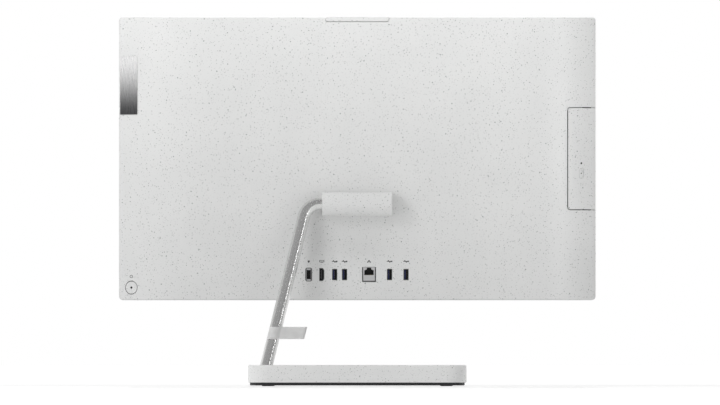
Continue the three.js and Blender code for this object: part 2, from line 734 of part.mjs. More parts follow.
function fanHousing() {
  const halfSize = 38;
  const outline = roundedRect(
    [FAN_X - halfSize, FAN_X + halfSize],
    [FAN_Z - halfSize, FAN_Z + halfSize],
    8,
  );
  const box = prism(outline, "y", FAN_FRONT, FAN_BACK);
  const chamber = rod(FAN_RADIUS, "y", FAN_FRONT + FAN_WALL, FAN_BACK - FAN_WALL, FAN_X, FAN_Z);
  const outlet = block(
    [FAN_X - 30, FAN_X + 30],
    [FAN_FRONT + FAN_WALL, FAN_BACK - FAN_WALL],
    [FAN_Z, FAN_Z + 60],
  );
  const intake = rod(22, "y", FAN_BACK - 3, FAN_BACK + 3, FAN_X, FAN_Z);
  const axle = rod(1.5, "y", FAN_FRONT + 0.5, -11, FAN_X, FAN_Z);
  return join(cut(box, chamber, outlet, intake), axle);
}

// A centrifugal rotor about y, with a hub, a back disc and a ring of leaning blades.
function fanImpeller() {
  const disc = rod(30, "y", -20.2, -19.2);
  const hub = rod(13, "y", -20.2, -10.4);
  const blades = [];
  for (let i = 0; i < BLADE_COUNT; i++) {
    const blade = block([20, 29.5], [-19.6, -10.8], [-0.5, 0.5]);
    blades.push(blade.rotateY(0.5).translate(0, 0, 8).rotateY((2 * Math.PI * i) / BLADE_COUNT));
  }
  return cut(join(disc, hub, ...blades), rod(1.8, "y", -40, 0));
}

const FIN_Z = [309.5, 330];
const PIPE_Y = -13.1;
const PIPE_Z = 320;
const PIPE_RADIUS = 3;

function heatsinkFins() {
  const plate = block([130, 190], [-21, -19.5], FIN_Z);
  const fins = [];
  for (let x = 130; x <= 189; x += 7) {
    fins.push(block([x, x + 1], [-20, -8.5], FIN_Z));
  }
  const pipeHole = rod(PIPE_RADIUS + GAP, "x", 120, 200, PIPE_Y, PIPE_Z, 5);
  return cut(join(plate, ...fins), pipeHole);
}

function heatPipe() {
  const path = new BentPath(
    new THREE.Vector3(112, PIPE_Y, 128),
    new THREE.Vector3(112, PIPE_Y, PIPE_Z),
    new THREE.Vector3(189, PIPE_Y, PIPE_Z),
    14,
    6,
  );
  return sweep(circle(PIPE_RADIUS), path, 5);
}

// Two rails and a back that keep the camera bar's stem upright.
function cameraGuide() {
  const body = block([-38, 38], [-32.4, -26.5], [322, 348]);
  const channel = block([-34.5, 34.5], [-35, -27.6], [320, 350]);
  return cut(body, channel);
}

// ---- controls ----

const BUTTON_SKIRT = -3.4;
const BUTTON_FOOT = -4.8;

// A round button about y, flush with the cover, with a flange under the cover and a hole for its
// light.
function powerButton() {
  const lightHole = 1.2;
  const profile = [
    [lightHole, BUTTON_FOOT],
    [POWER_RADIUS + 1.4, BUTTON_FOOT],
    [POWER_RADIUS + 1.4, BUTTON_SKIRT],
    [POWER_RADIUS, BUTTON_SKIRT],
    [POWER_RADIUS, -0.3],
    [POWER_RADIUS - 0.3, 0],
    [lightHole, 0],
    [lightHole, BUTTON_FOOT],
  ];
  return turned(profile, 32);
}

function powerSwitchBoard() {
  const board = block([-8, 8], [-9.3, -7.9], [-9, 9]);
  return join(board, rod(2.6, "y", -8.5, -6.2));
}

function ejectButton() {
  const cap = prism(ejectOutline(0), "y", BUTTON_SKIRT, 0);
  const flange = prism(ejectOutline(1.2), "y", BUTTON_FOOT, BUTTON_SKIRT);
  return join(cap, flange);
}

function ejectOutline(grow) {
  const [halfWidth, halfHeight] = [EJECT_HALF_WIDTH + grow, EJECT_HALF_HEIGHT + grow];
  return roundedRect([-halfWidth, halfWidth], [-halfHeight, halfHeight], 2.4 + grow);
}

// ---- optical drive ----

const TRAY_LOW_Y = -31;
const TRAY_HIGH_Y = -27.5;
const TRAY_Z = [120, 244.5];
const DISC_Z = (TRAY_Z[0] + TRAY_Z[1]) / 2;

function opticalDriveCase() {
  const box = block([-268, -122], [-32.3, -22.3], [118.5, 246]);
  const hollow = block([-280, -123], [-31.5, -23.1], [119.3, 245.2]);
  return cut(box, hollow);
}

// A tray with a round well for the disc and an opening over the laser's track.
function discTray() {
  const slab = block([-300.3, -130], [TRAY_LOW_Y, TRAY_HIGH_Y], TRAY_Z);
  const well = rod(DISC_WELL_RADIUS, "y", TRAY_HIGH_Y - 1.3, 0, DISC_X, DISC_Z);
  const hubHole = rod(10.5, "y", -40, 0, DISC_X, DISC_Z);
  const track = block([DISC_X + 5, DISC_X + 50], [-40, 0], [DISC_Z - 9, DISC_Z + 9]);
  return cut(slab, well, hubHole, track);
}

// The spindle clamp that a disc snaps onto, held in the tray by its wide foot.
function discHub() {
  const profile = [
    [0, TRAY_LOW_Y],
    [10, TRAY_LOW_Y],
    [10, TRAY_HIGH_Y - 1.4],
    [7.4, TRAY_HIGH_Y - 1.2],
    [7.4, TRAY_HIGH_Y + 0.6],
    [6, TRAY_HIGH_Y + 1.4],
    [0, TRAY_HIGH_Y + 1.4],
  ];
  return turned(profile, 32);
}

function trayBezel() {
  const skin = common(coverShell, bezelPrism(0));
  const buttonHole = onSurface(prism(ejectOutline(0.35), "y", -8, 8), EJECT_X, EJECT_Z);
  const ledHole = onSurface(rod(1.3, "y", -8, 8), EJECT_X, TRAY_LED_Z);
  return cut(skin, buttonHole, ledHole);
}

function trayLed() {
  return rod(1, "y", -4, -0.1);
}

// ---- camera bar ----

const STEM_FRONT = -32;
const STEM_BACK = -28;

// The cap closes the notch in the housing's top edge; the stem behind the screen carries the lens.
function cameraBar() {
  const half = CAMERA_HALF_WIDTH;
  const outline = roundedRect([-half, half], [CAMERA_LOW, FRAME_HEIGHT], CAMERA_CORNER, 0.4);
  const cap = prism(outline, "y", FRAME_FRONT, 0);
  const hollowTop = FRAME_HEIGHT - 1.5;
  const hollow = block([-half + 3, half - 3], [FRAME_FRONT + 1.5, -1.5], [300, hollowTop]);
  const stem = block([-34, 34], [STEM_FRONT, STEM_BACK], [322, hollowTop + 0.5]);
  const lensPocket = rod(3.3, "y", STEM_FRONT - 1, STEM_FRONT + 1.3, 0, CAMERA_LENS_Z);
  return cut(join(cut(cap, hollow), stem), lensPocket);
}

function cameraLens() {
  return rod(3, "y", STEM_FRONT - 0.3, STEM_FRONT + 1);
}

// ---- assembly ----

function stand() {
  const group = new THREE.Group();
  group.add(
    piece("base_shell", baseShell(), "speckledPlastic"),
    piece("base_underplate", baseUnderplate(), "blackPlastic"),
    piece("base_weight", baseWeight(), "steel"),
    piece("tube_socket", tubeSocket(), "steel"),
    piece("stand_tube", standTube(), "metalTube"),
    piece("cable_clip", cableClip(), "clearGrey"),
  );
  FEET.forEach(([x, y], i) => group.add(rubberFoot(i + 1, x, y)));
  BASE_SCREWS.forEach(([x, y], i) => group.add(baseScrew(i + 1, x, y)));
  const hingeAxis = new THREE.Group();
  hingeAxis.position.set(0, DISPLAY_Y + AXIS_Y, DISPLAY_Z + AXIS_Z);
  hingeAxis.add(
    piece("hinge_shaft", hingeShaft(), "shinySteel"),
    piece("hinge_washer", hingeWasher(), "steel"),
    piece("hinge_nut", hingeNut(), "shinySteel"),
  );
  group.add(hingeAxis);
  return group;
}

function housing() {
  const group = new THREE.Group();
  const glassFront = FRAME_FRONT + GAP;
  const panelFront = glassFront + GLASS_THICK + GAP;
  group.add(
    piece("front_frame", frontFrame(), "speckledPlastic"),
    piece("screen_glass", screenLayer(glassFront, GLASS_THICK, 0.3), "glass"),
    piece("lcd_panel", screenLayer(panelFront, PANEL_THICK, 0.5), "blackPlastic"),
    piece("chassis_plate", chassisPlate(), "steel"),
    piece("rear_cover", rearCover(), "speckledPlastic"),
    piece("hinge_cover", hingeCover(), "speckledPlastic"),
    piece("hinge_bracket", hingeBracket(), "steel"),
    piece("name_plate", namePlate(), "namePlate"),
  );
  return group;
}

function connectors() {
  const group = new THREE.Group();
  USB_X.forEach((x, i) => {
    group.add(moved(piece(`usb_port_${i + 1}`, usbPort(), "shinySteel"), x, 0, PORT_Z));
  });
  group.add(
    moved(piece("hdmi_port", hdmiPort(), "shinySteel"), HDMI_X, 0, PORT_Z),
    moved(piece("ethernet_port", ethernetPort(), "shinySteel"), ETHERNET_X, 0, PORT_Z),
    moved(piece("power_inlet", powerInlet(), "blackPlastic"), INLET_X, 0, PORT_Z),
  );
  return group;
}

function computer() {
  const group = new THREE.Group();
  group.add(
    piece("main_board", mainBoard(), "board"),
    piece("storage_caddy", storageCaddy(), "steel"),
    piece("speaker_left", speaker(1), "blackPlastic"),
    piece("speaker_right", speaker(-1), "blackPlastic"),
    piece("fan_housing", fanHousing(), "blackPlastic"),
    moved(piece("fan_impeller", fanImpeller(), "blackPlastic"), FAN_X, 0, FAN_Z),
    piece("heatsink_fins", heatsinkFins(), "aluminium"),
    piece("heat_pipe", heatPipe(), "copper"),
    piece("camera_guide", cameraGuide(), "blackPlastic"),
  );
  for (const [name, [geometry, finish]] of Object.entries(inside)) {
    group.add(piece(name, geometry, finish));
  }
  return group;
}

function controls() {
  const group = new THREE.Group();
  const led = rod(0.9, "y", -4, -0.2);
  group.add(
    placeOnSurface(piece("power_button", powerButton(), "speckledPlastic"), POWER_X, POWER_Z),
    placeOnSurface(piece("power_led", led, "blackPlastic"), POWER_X, POWER_Z),
    placeOnSurface(piece("power_switch_board", powerSwitchBoard(), "board"), POWER_X, POWER_Z),
    piece("camera_bar", cameraBar(), "speckledPlastic"),
    moved(piece("camera_lens", cameraLens(), "glass"), 0, 0, CAMERA_LENS_Z),
  );
  return group;
}

function opticalDrive() {
  const group = new THREE.Group();
  group.add(
    piece("optical_drive_case", opticalDriveCase(), "steel"),
    piece("disc_tray", discTray(), "blackPlastic"),
    moved(piece("disc_hub", discHub(), "blackPlastic"), DISC_X, 0, DISC_Z),
    piece("tray_bezel", trayBezel(), "speckledPlastic"),
    placeOnSurface(piece("eject_button", ejectButton(), "speckledPlastic"), EJECT_X, EJECT_Z),
    placeOnSurface(piece("tray_led", trayLed(), "blackPlastic"), EJECT_X, TRAY_LED_Z),
  );
  return group;
}

const display = new THREE.Group();
display.position.set(0, DISPLAY_Y, DISPLAY_Z);
display.add(housing(), connectors(), computer(), controls(), opticalDrive());

const computerOnStand = new THREE.Group();
computerOnStand.add(stand(), display);

export default computerOnStand;
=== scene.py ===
import json
import math

import bmesh
import bpy
from mathutils import Matrix, Vector


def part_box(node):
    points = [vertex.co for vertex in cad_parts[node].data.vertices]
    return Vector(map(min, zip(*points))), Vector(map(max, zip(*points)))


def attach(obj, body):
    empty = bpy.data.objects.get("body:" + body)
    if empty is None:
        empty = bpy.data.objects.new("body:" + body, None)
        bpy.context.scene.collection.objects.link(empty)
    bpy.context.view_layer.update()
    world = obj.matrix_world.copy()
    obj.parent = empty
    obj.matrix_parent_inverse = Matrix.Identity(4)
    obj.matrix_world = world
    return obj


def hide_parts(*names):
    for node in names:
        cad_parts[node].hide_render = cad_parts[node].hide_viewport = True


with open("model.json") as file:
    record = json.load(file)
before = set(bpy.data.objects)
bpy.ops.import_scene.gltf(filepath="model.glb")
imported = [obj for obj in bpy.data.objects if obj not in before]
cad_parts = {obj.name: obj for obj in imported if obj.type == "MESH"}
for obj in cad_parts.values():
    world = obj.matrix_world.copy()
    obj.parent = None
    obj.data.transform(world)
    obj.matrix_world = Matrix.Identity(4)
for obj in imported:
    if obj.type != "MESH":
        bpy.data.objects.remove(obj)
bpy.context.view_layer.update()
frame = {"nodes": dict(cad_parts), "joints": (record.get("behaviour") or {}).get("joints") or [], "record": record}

MM = 0.001

# ---- places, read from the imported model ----


class Box:
    """The corners of a CAD node at rest, with its middle."""

    def __init__(self, node):
        self.low, self.high = (Vector(corner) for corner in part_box(node))
        self.middle = (self.low + self.high) / 2
        self.size = self.high - self.low


COVER = Box("rear_cover")
BASE = Box("base_shell")
SLEEVE = Box("hinge_cover")
BEZEL = Box("tray_bezel")
CAMERA_BAR = Box("camera_bar")
PLATE = Box("name_plate")
PORTS = ["power_inlet", "hdmi_port", "ethernet_port"] + [f"usb_port_{n}" for n in range(1, 5)]

REAR_Y = COVER.high.y
FLAT_HALF_WIDTH = 200 * MM
CURVE_RADIUS = 219 * MM
COVER_WALL = 2.5 * MM
COVER_FILLET = 0.6 * MM
BOTTOM_CORNER = 5 * MM
TOP_CORNER = 3.5 * MM
CAMERA_CAP_LOW = 469.2 * MM
POWER = Vector((291 * MM, 0, 126.7 * MM))
EJECT = Vector((-288.6 * MM, 0, 273.8 * MM))
TRAY_LED_Z = 286.9 * MM
PINHOLE = Vector((-289.8 * MM, 0, 258.9 * MM))
TILT = next(joint for joint in frame["joints"] if joint["name"] == "tilt")
AXIS = Vector(TILT["pos_m"])


def surface_y(x):
    """The rear cover's outer surface: flat in the middle, round towards each side."""
    past = max(abs(x) - FLAT_HALF_WIDTH, 0)
    return REAR_Y + math.sqrt(CURVE_RADIUS**2 - past**2) - CURVE_RADIUS


def surface_turn(x):
    """The turn about Z that takes +Y to the surface's outward normal at x."""
    past = max(abs(x) - FLAT_HALF_WIDTH, 0)
    return -math.copysign(math.asin(past / CURVE_RADIUS), x)


def on_surface(x, z):
    return Matrix.Translation((x, surface_y(x), z)) @ Matrix.Rotation(surface_turn(x), 4, "Z")


# ---- mesh tools ----


def link(name, mesh):
    piece = bpy.data.objects.new(name, mesh)
    bpy.context.scene.collection.objects.link(piece)
    return piece


def mesh_object(name, vertices, faces):
    mesh = bpy.data.meshes.new(name)
    mesh.from_pydata([tuple(v) for v in vertices], [], faces)
    work = bmesh.new()
    work.from_mesh(mesh)
    bmesh.ops.remove_doubles(work, verts=work.verts, dist=1e-7)
    bmesh.ops.recalc_face_normals(work, faces=work.faces)
    work.to_mesh(mesh)
    work.free()
    return link(name, mesh)


def loft(name, rings, ends="caps"):
    """Joins rings of equally many points with quads, and closes the two ends or joins them."""
    count = len(rings[0])
    vertices = [point for ring in rings for point in ring]
    faces = []
    steps = len(rings) if ends == "joined" else len(rings) - 1
    for i in range(steps):
        a, b = i * count, ((i + 1) % len(rings)) * count
        for j in range(count):
            k = (j + 1) % count
            faces.append((a + j, a + k, b + k, b + j))
    if ends == "caps":
        last = (len(rings) - 1) * count
        faces.append(tuple(range(count)))
        faces.append(tuple(last + j for j in range(count)))
    return mesh_object(name, vertices, faces)


def lathe(name, profile, sides=64):
    """A solid of revolution about the y axis, from (radius, y) points."""
    rings = []
    for radius, y in profile:
        turns = [2 * math.pi * j / sides for j in range(sides)]
        rings.append([Vector((radius * math.cos(t), y, radius * math.sin(t))) for t in turns])
    return loft(name, rings)


def arc(centre, radius, start, end, steps):
    """Points of (a, b) on an arc, from start to end in degrees."""
    turns = [math.radians(start + (end - start) * i / steps) for i in range(steps + 1)]
    return [(centre[0] + radius * math.cos(t), centre[1] + radius * math.sin(t)) for t in turns]


def rounded_rect(low, high, radius, steps=8):
    (x0, y0), (x1, y1) = low, high
    return (
        arc((x0 + radius, y0 + radius), radius, 180, 270, steps)
        + arc((x1 - radius, y0 + radius), radius, 270, 360, steps)
        + arc((x1 - radius, y1 - radius), radius, 0, 90, steps)
        + arc((x0 + radius, y1 - radius), radius, 90, 180, steps)
    )


def place_outline(outline, axis, depth):
    if axis == "x":
        return [Vector((depth, a, b)) for a, b in outline]
    if axis == "y":
        return [Vector((a, depth, b)) for a, b in outline]
    return [Vector((a, b, depth)) for a, b in outline]


def prism(name, outline, axis, low, high):
    return loft(name, [place_outline(outline, axis, low), place_outline(outline, axis, high)])


def rod(name, radius, axis, low, high, centre=(0, 0), sides=48):
    outline = [
        (centre[0] + radius * math.cos(t), centre[1] + radius * math.sin(t))
        for t in (2 * math.pi * j / sides for j in range(sides))
    ]
    return prism(name, outline, axis, low, high)


def cuboid(name, low, high):
    outline = [(low[0], low[2]), (high[0], low[2]), (high[0], high[2]), (low[0], high[2])]
    return prism(name, outline, "y", low[1], high[1])


def transformed(piece, matrix):
    piece.data.transform(matrix)
    return piece


def joined(name, pieces):
    """One mesh object from several, which are then removed."""
    work = bmesh.new()
    for piece in pieces:
        work.from_mesh(piece.data)
        bpy.data.objects.remove(piece)
    mesh = bpy.data.meshes.new(name)
    work.to_mesh(mesh)
    work.free()
    return link(name, mesh)


def bake_modifiers(piece):
    graph = bpy.context.evaluated_depsgraph_get()
    baked = bpy.data.meshes.new_from_object(piece.evaluated_get(graph))
    piece.modifiers.clear()
    piece.data = baked
    return piece


def boolean(piece, tools, operation="DIFFERENCE"):
    tool = joined(piece.name + "_tool", tools)
    step = piece.modifiers.new("boolean", "BOOLEAN")
    step.operation = operation
    step.solver = "EXACT"
    step.object = tool
    bake_modifiers(piece)
    bpy.data.objects.remove(tool)
    return piece


def bevel(piece, width, segments=3, angle=35):
    step = piece.modifiers.new("bevel", "BEVEL")
    step.width = width
    step.segments = segments
    step.limit_method = "ANGLE"
    step.angle_limit = math.radians(angle)
    return bake_modifiers(piece)


def copy_of_node(node, name):
    """A new piece with a CAD node's shape, cleaned of the lines between its flat triangles."""
    mesh = frame["nodes"][node].data.copy()
    mesh.materials.clear()
    work = bmesh.new()
    work.from_mesh(mesh)
    bmesh.ops.remove_doubles(work, verts=work.verts, dist=1e-6)
    bmesh.ops.dissolve_limit(
        work, angle_limit=math.radians(1), verts=work.verts, edges=work.edges
    )
    work.to_mesh(mesh)
    work.free()
    return link(name, mesh)


def finish_piece(piece, body, material, replaced=(), smooth_angle=32):
    """Smooths, paints and attaches a piece, and hides the CAD nodes that it stands for."""
    piece.data.materials.clear()
    piece.data.materials.append(material)
    piece.data.shade_smooth()
    piece.data.set_sharp_from_angle(angle=math.radians(smooth_angle))
    normals = piece.modifiers.new("normals", "WEIGHTED_NORMAL")
    normals.keep_sharp = True
    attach(piece, body)
    if replaced:
        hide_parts(*replaced)
    return piece


# ---- materials ----


class Paint:
    """A Principled material with the object's own coordinates and a few node helpers."""

    def __init__(self, name, roughness, metallic=0.0):
        self.material = bpy.data.materials.new(name)
        self.material.use_nodes = True
        self.tree = self.material.node_tree
        self.shader = self.tree.nodes["Principled BSDF"]
        self.shader.inputs["Roughness"].default_value = roughness
        self.shader.inputs["Metallic"].default_value = metallic
        self.place = self.node("ShaderNodeTexCoord").outputs["Object"]

    def node(self, kind, **settings):
        made = self.tree.nodes.new(kind)
        for key, value in settings.items():
            setattr(made, key, value)
        return made

    def wire(self, source, target):
        self.tree.links.new(source, target)

    def stretched(self, scale):
        mapping = self.node("ShaderNodeMapping")
        mapping.inputs["Scale"].default_value = scale
        self.wire(self.place, mapping.inputs["Vector"])
        return mapping.outputs["Vector"]

    def noise(self, scale, detail=2.0, vector=None):
        made = self.node("ShaderNodeTexNoise")
        made.inputs["Scale"].default_value = scale
        made.inputs["Detail"].default_value = detail
        self.wire(vector or self.place, made.inputs["Vector"])
        return made.outputs["Fac"]

    def ranged(self, value, from_low, from_high, to_low=0.0, to_high=1.0):
        made = self.node("ShaderNodeMapRange", interpolation_type="SMOOTHSTEP")
        made.inputs["From Min"].default_value = from_low
        made.inputs["From Max"].default_value = from_high
        made.inputs["To Min"].default_value = to_low
        made.inputs["To Max"].default_value = to_high
        self.wire(value, made.inputs["Value"])
        return made.outputs["Result"]

    def mixed(self, factor, first, second):
        """Mixes two colours, each a fixed colour or another node's output."""
        made = self.node("ShaderNodeMix", data_type="RGBA")
        self.wire(factor, made.inputs[0])
        for value, socket in ((first, made.inputs[6]), (second, made.inputs[7])):
            if isinstance(value, tuple):
                socket.default_value = (*value, 1)
            else:
                self.wire(value, socket)
        return made.outputs[2]

    def times(self, first, second):
        made = self.node("ShaderNodeMath", operation="MULTIPLY")
        self.wire(first, made.inputs[0])
        self.wire(second, made.inputs[1])
        return made.outputs[0]

    def colour(self, output):
        self.wire(output, self.shader.inputs["Base Color"])

    def rough(self, output):
        self.wire(output, self.shader.inputs["Roughness"])

    def bump(self, height, strength, distance):
        made = self.node("ShaderNodeBump")
        made.inputs["Strength"].default_value = strength
        made.inputs["Distance"].default_value = distance
        self.wire(height, made.inputs["Height"])
        self.wire(made.outputs["Normal"], self.shader.inputs["Normal"])


def add_flecks(paint, under, spacing, radius, fleck, most):
    """Scattered flecks: the cells' centre points, where they lie close under the surface."""
    cells = paint.node("ShaderNodeTexVoronoi")
    cells.inputs["Scale"].default_value = 1 / spacing
    wobble = paint.node("ShaderNodeTexNoise")
    wobble.inputs["Scale"].default_value = 1500
    shift = paint.node("ShaderNodeVectorMath", operation="MULTIPLY_ADD")
    shift.inputs[1].default_value = (radius * 0.9,) * 3
    paint.wire(paint.place, wobble.inputs["Vector"])
    paint.wire(wobble.outputs["Color"], shift.inputs[0])
    paint.wire(paint.place, shift.inputs[2])
    paint.wire(shift.outputs["Vector"], cells.inputs["Vector"])
    edge = radius / spacing
    near = paint.ranged(cells.outputs["Distance"], edge * 0.75, edge, 1, 0)
    each = paint.node("ShaderNodeSeparateColor")
    paint.wire(cells.outputs["Color"], each.inputs["Color"])
    strength = paint.ranged(each.outputs["Red"], 0, 1, most * 0.5, most)
    return paint.mixed(paint.times(near, strength), under, fleck)


def speckled_plastic(name, shade=0.76, flecks=1.0):
    """Moulded white plastic with fine grey and grey-green flecks and a soft texture."""
    paint = Paint(name, 0.36)
    clouds = paint.noise(14, 3)
    light = (shade, shade * 1.004, shade * 0.997)
    dark = (shade * 0.975, shade * 0.98, shade * 0.974)
    colour = paint.mixed(paint.ranged(clouds, 0.35, 0.65), light, dark)
    colour = add_flecks(paint, colour, 3.5 * MM, 0.62 * MM, (0.27, 0.285, 0.275), flecks)
    colour = add_flecks(paint, colour, 8.0 * MM, 0.80 * MM, (0.14, 0.17, 0.16), flecks)
    colour = add_flecks(paint, colour, 2.3 * MM, 0.40 * MM, (0.36, 0.36, 0.36), flecks)
    paint.colour(colour)
    paint.rough(paint.ranged(paint.noise(900, 2), 0.3, 0.7, 0.32, 0.40))
    paint.bump(paint.noise(2600, 2), 0.06, 0.05 * MM)
    paint.shader.inputs["Specular IOR Level"].default_value = 0.62
    return paint.material


def brushed_metal(name, colour, roughness, grain, relief=0.08):
    """Metal with fine lines; grain is the scale of the lines along x, y and z."""
    paint = Paint(name, roughness, 1.0)
    lines = paint.noise(1.0, 3, paint.stretched(grain))
    light = tuple(min(c * 1.05, 1) for c in colour)
    dark = tuple(c * 0.95 for c in colour)
    paint.colour(paint.mixed(lines, dark, light))
    paint.rough(paint.ranged(lines, 0.25, 0.75, roughness * 0.9, roughness * 1.12))
    paint.bump(lines, relief, 0.03 * MM)
    return paint.material


def moulded(name, colour, roughness, grain=1800, coat=0.0):
    """Plain moulded plastic or rubber: slight mottling and a fine pebbled surface."""
    paint = Paint(name, roughness)
    mottling = paint.ranged(paint.noise(60, 3), 0.3, 0.7)
    paint.colour(paint.mixed(mottling, tuple(c * 0.88 for c in colour), colour))
    paint.rough(paint.ranged(paint.noise(400, 2), 0.3, 0.7, roughness * 0.9, roughness * 1.1))
    paint.bump(paint.noise(grain, 2), 0.15, 0.05 * MM)
    paint.shader.inputs["Coat Weight"].default_value = coat
    return paint.material


def clip_plastic():
    """Cloudy, slightly clear grey plastic."""
    paint = Paint("clip_clear_grey", 0.32)
    cloud = paint.ranged(paint.noise(90, 3), 0.3, 0.7)
    paint.colour(paint.mixed(cloud, (0.85, 0.85, 0.845), (0.91, 0.91, 0.905)))
    paint.rough(paint.ranged(paint.noise(500, 2), 0.3, 0.7, 0.28, 0.38))
    paint.bump(paint.noise(1400, 2), 0.08, 0.04 * MM)
    paint.shader.inputs["Transmission Weight"].default_value = 0.28
    paint.shader.inputs["IOR"].default_value = 1.49
    return paint.material


def name_plate_metal():
    """Satin metal with a painted reflection: near white at the upper end, darkening to near black at the lower
    end.
    """
    paint = Paint("plate_metal_painted_reflection", 0.28, 0.55)
    split = paint.node("ShaderNodeSeparateXYZ")
    paint.wire(paint.place, split.inputs["Vector"])
    height = paint.ranged(split.outputs["Z"], PLATE.low.z, PLATE.high.z)
    lines = paint.noise(1.0, 3, paint.stretched((6000, 6000, 90)))
    # Painted reflection: the colour runs from near black at the bottom to near white at the top.
    painted_reflection = paint.mixed(height, (0.06, 0.06, 0.063), (0.97, 0.97, 0.97))
    paint.colour(paint.mixed(paint.ranged(lines, 0, 1, 0, 0.04), painted_reflection, (0.5, 0.5, 0.5)))
    paint.rough(paint.ranged(lines, 0.25, 0.75, 0.22, 0.34))
    paint.bump(lines, 0.01, 0.02 * MM)
    return paint.material


def screen_material():
    """Black glass with a slightly lighter picture area inside a black border."""
    paint = Paint("screen_black_glass", 0.09)
    border = 2.6 * MM
    glass = Box("screen_glass")
    half = glass.size.x / 2 - border
    tall = glass.size.z / 2 - border
    shift = paint.node("ShaderNodeMapping")
    shift.inputs["Location"].default_value = (0, 0, -glass.middle.z / tall)
    shift.inputs["Scale"].default_value = (1 / half, 0, 1 / tall)
    paint.wire(paint.place, shift.inputs["Vector"])
    split = paint.node("ShaderNodeSeparateXYZ")
    paint.wire(shift.outputs["Vector"], split.inputs["Vector"])
    sides = []
    for axis in ("X", "Z"):
        size = paint.node("ShaderNodeMath", operation="ABSOLUTE")
        paint.wire(split.outputs[axis], size.inputs[0])
        sides.append(size.outputs[0])
    reach = paint.node("ShaderNodeMath", operation="MAXIMUM")
    paint.wire(sides[0], reach.inputs[0])
    paint.wire(sides[1], reach.inputs[1])
    outside = paint.ranged(reach.outputs[0], 0.999, 1.001)
    haze = paint.ranged(paint.noise(5, 2), 0.3, 0.7)
    picture = paint.mixed(haze, (0.012, 0.013, 0.016), (0.017, 0.018, 0.022))
    paint.colour(paint.mixed(outside, picture, (0.003, 0.003, 0.003)))
    paint.rough(paint.ranged(paint.noise(350, 2), 0.3, 0.7, 0.08, 0.12))
    paint.shader.inputs["Coat Weight"].default_value = 0.4
    return paint.material


def circuit_board():
    """Dark green board with fine traces and lighter pads."""
    paint = Paint("board_green", 0.45)
    cells = paint.node("ShaderNodeTexVoronoi", distance="CHEBYCHEV")
    cells.inputs["Scale"].default_value = 420
    paint.wire(paint.place, cells.inputs["Vector"])
    pads = paint.ranged(cells.outputs["Distance"], 0.10, 0.14, 1, 0)
    traces = paint.ranged(paint.noise(1.0, 1, paint.stretched((90, 90, 1400))), 0.52, 0.56)
    colour = paint.mixed(traces, (0.012, 0.055, 0.032), (0.02, 0.09, 0.05))
    paint.colour(paint.mixed(pads, colour, (0.45, 0.40, 0.25)))
    paint.rough(paint.ranged(paint.noise(200, 2), 0.3, 0.7, 0.38, 0.52))
    paint.bump(traces, 0.2, 0.05 * MM)
    return paint.material


WHITE = speckled_plastic("speckled_white")
# The base's copy of the speckled plastic is lighter than the housing's: painted light, for the extra light that
# reaches the base.
BASE_WHITE_PAINTED_LIGHT = speckled_plastic("speckled_white_base_painted_light", 0.88, 0.7)
TUBE_METAL = brushed_metal("tube_satin_metal", (0.78, 0.78, 0.775), 0.25, (700, 700, 10), 0.01)
STEEL = brushed_metal("steel_sheet", (0.56, 0.57, 0.58), 0.36, (40, 40, 1200))
BRIGHT = brushed_metal("port_shell_steel", (0.62, 0.62, 0.63), 0.30, (300, 300, 300))
ALUMINIUM = brushed_metal("aluminium_cast", (0.70, 0.71, 0.72), 0.42, (700, 700, 700))
COPPER = brushed_metal("pipe_copper", (0.80, 0.42, 0.26), 0.28, (900, 900, 30))
PORT_STEEL = brushed_metal("port_dark_steel", (0.20, 0.20, 0.21), 0.34, (300, 300, 300))
NICKEL = brushed_metal("network_nickel", (0.76, 0.76, 0.76), 0.42, (300, 300, 300))
GOLD = brushed_metal("contact_gold", (0.90, 0.68, 0.30), 0.25, (900, 60, 900))
BLACK = moulded("plastic_black", (0.022, 0.022, 0.024), 0.5)
PORT_BLACK = moulded("port_black", (0.012, 0.012, 0.013), 0.42)
RUBBER = moulded("foot_rubber", (0.03, 0.03, 0.031), 0.8, 2400)
NAVY = moulded("usb_navy", (0.009, 0.014, 0.062), 0.4)
TONGUE_GREY = moulded("tongue_grey", (0.075, 0.075, 0.08), 0.4)
# Painted shade: the grey seen through the gap round the camera bar.
LINER_SHADE_GREY = moulded("liner_shade_grey", (0.46, 0.465, 0.46), 0.5)
INK = moulded("printed_grey", (0.035, 0.036, 0.038), 0.6)
DARK_WINDOW = moulded("light_window", (0.008, 0.008, 0.009), 0.5)
CLIP = clip_plastic()
BADGE = name_plate_metal()
SCREEN = screen_material()
BOARD = circuit_board()

# ---- rear cover and what sits in it ----


def outline_ring(inset, y_of_x, arc_steps=6):
    """The housing's rounded outline as a ring: along the bottom, then back along the top."""
    half = COVER.high.x
    flat = [-1, -0.6, -0.2, 0.2, 0.6, 1]
    curve = [i / 30 for i in range(1, 31)]

    def row(corner, z_edge, towards):
        radius = corner - inset
        inner = half - corner
        xs = [FLAT_HALF_WIDTH * f for f in flat]
        side = [FLAT_HALF_WIDTH + (inner - FLAT_HALF_WIDTH) * c for c in curve]
        turns = [math.radians(90 * i / arc_steps) for i in range(1, arc_steps + 1)]
        centre_z = z_edge + towards * corner
        straight = [(x, centre_z - towards * radius) for x in xs + side]
        bend = [
            (inner + radius * math.sin(t), centre_z - towards * radius * math.cos(t))
            for t in turns
        ]
        right = straight + bend
        left = [(-x, z) for x, z in reversed(right[len(flat):])]
        return left + right

    bottom = row(BOTTOM_CORNER, COVER.low.z, 1)
    top = row(TOP_CORNER, COVER.high.z, -1)
    ring = bottom + list(reversed(top))
    return [Vector((x, y_of_x(x), z)) for x, z in ring]


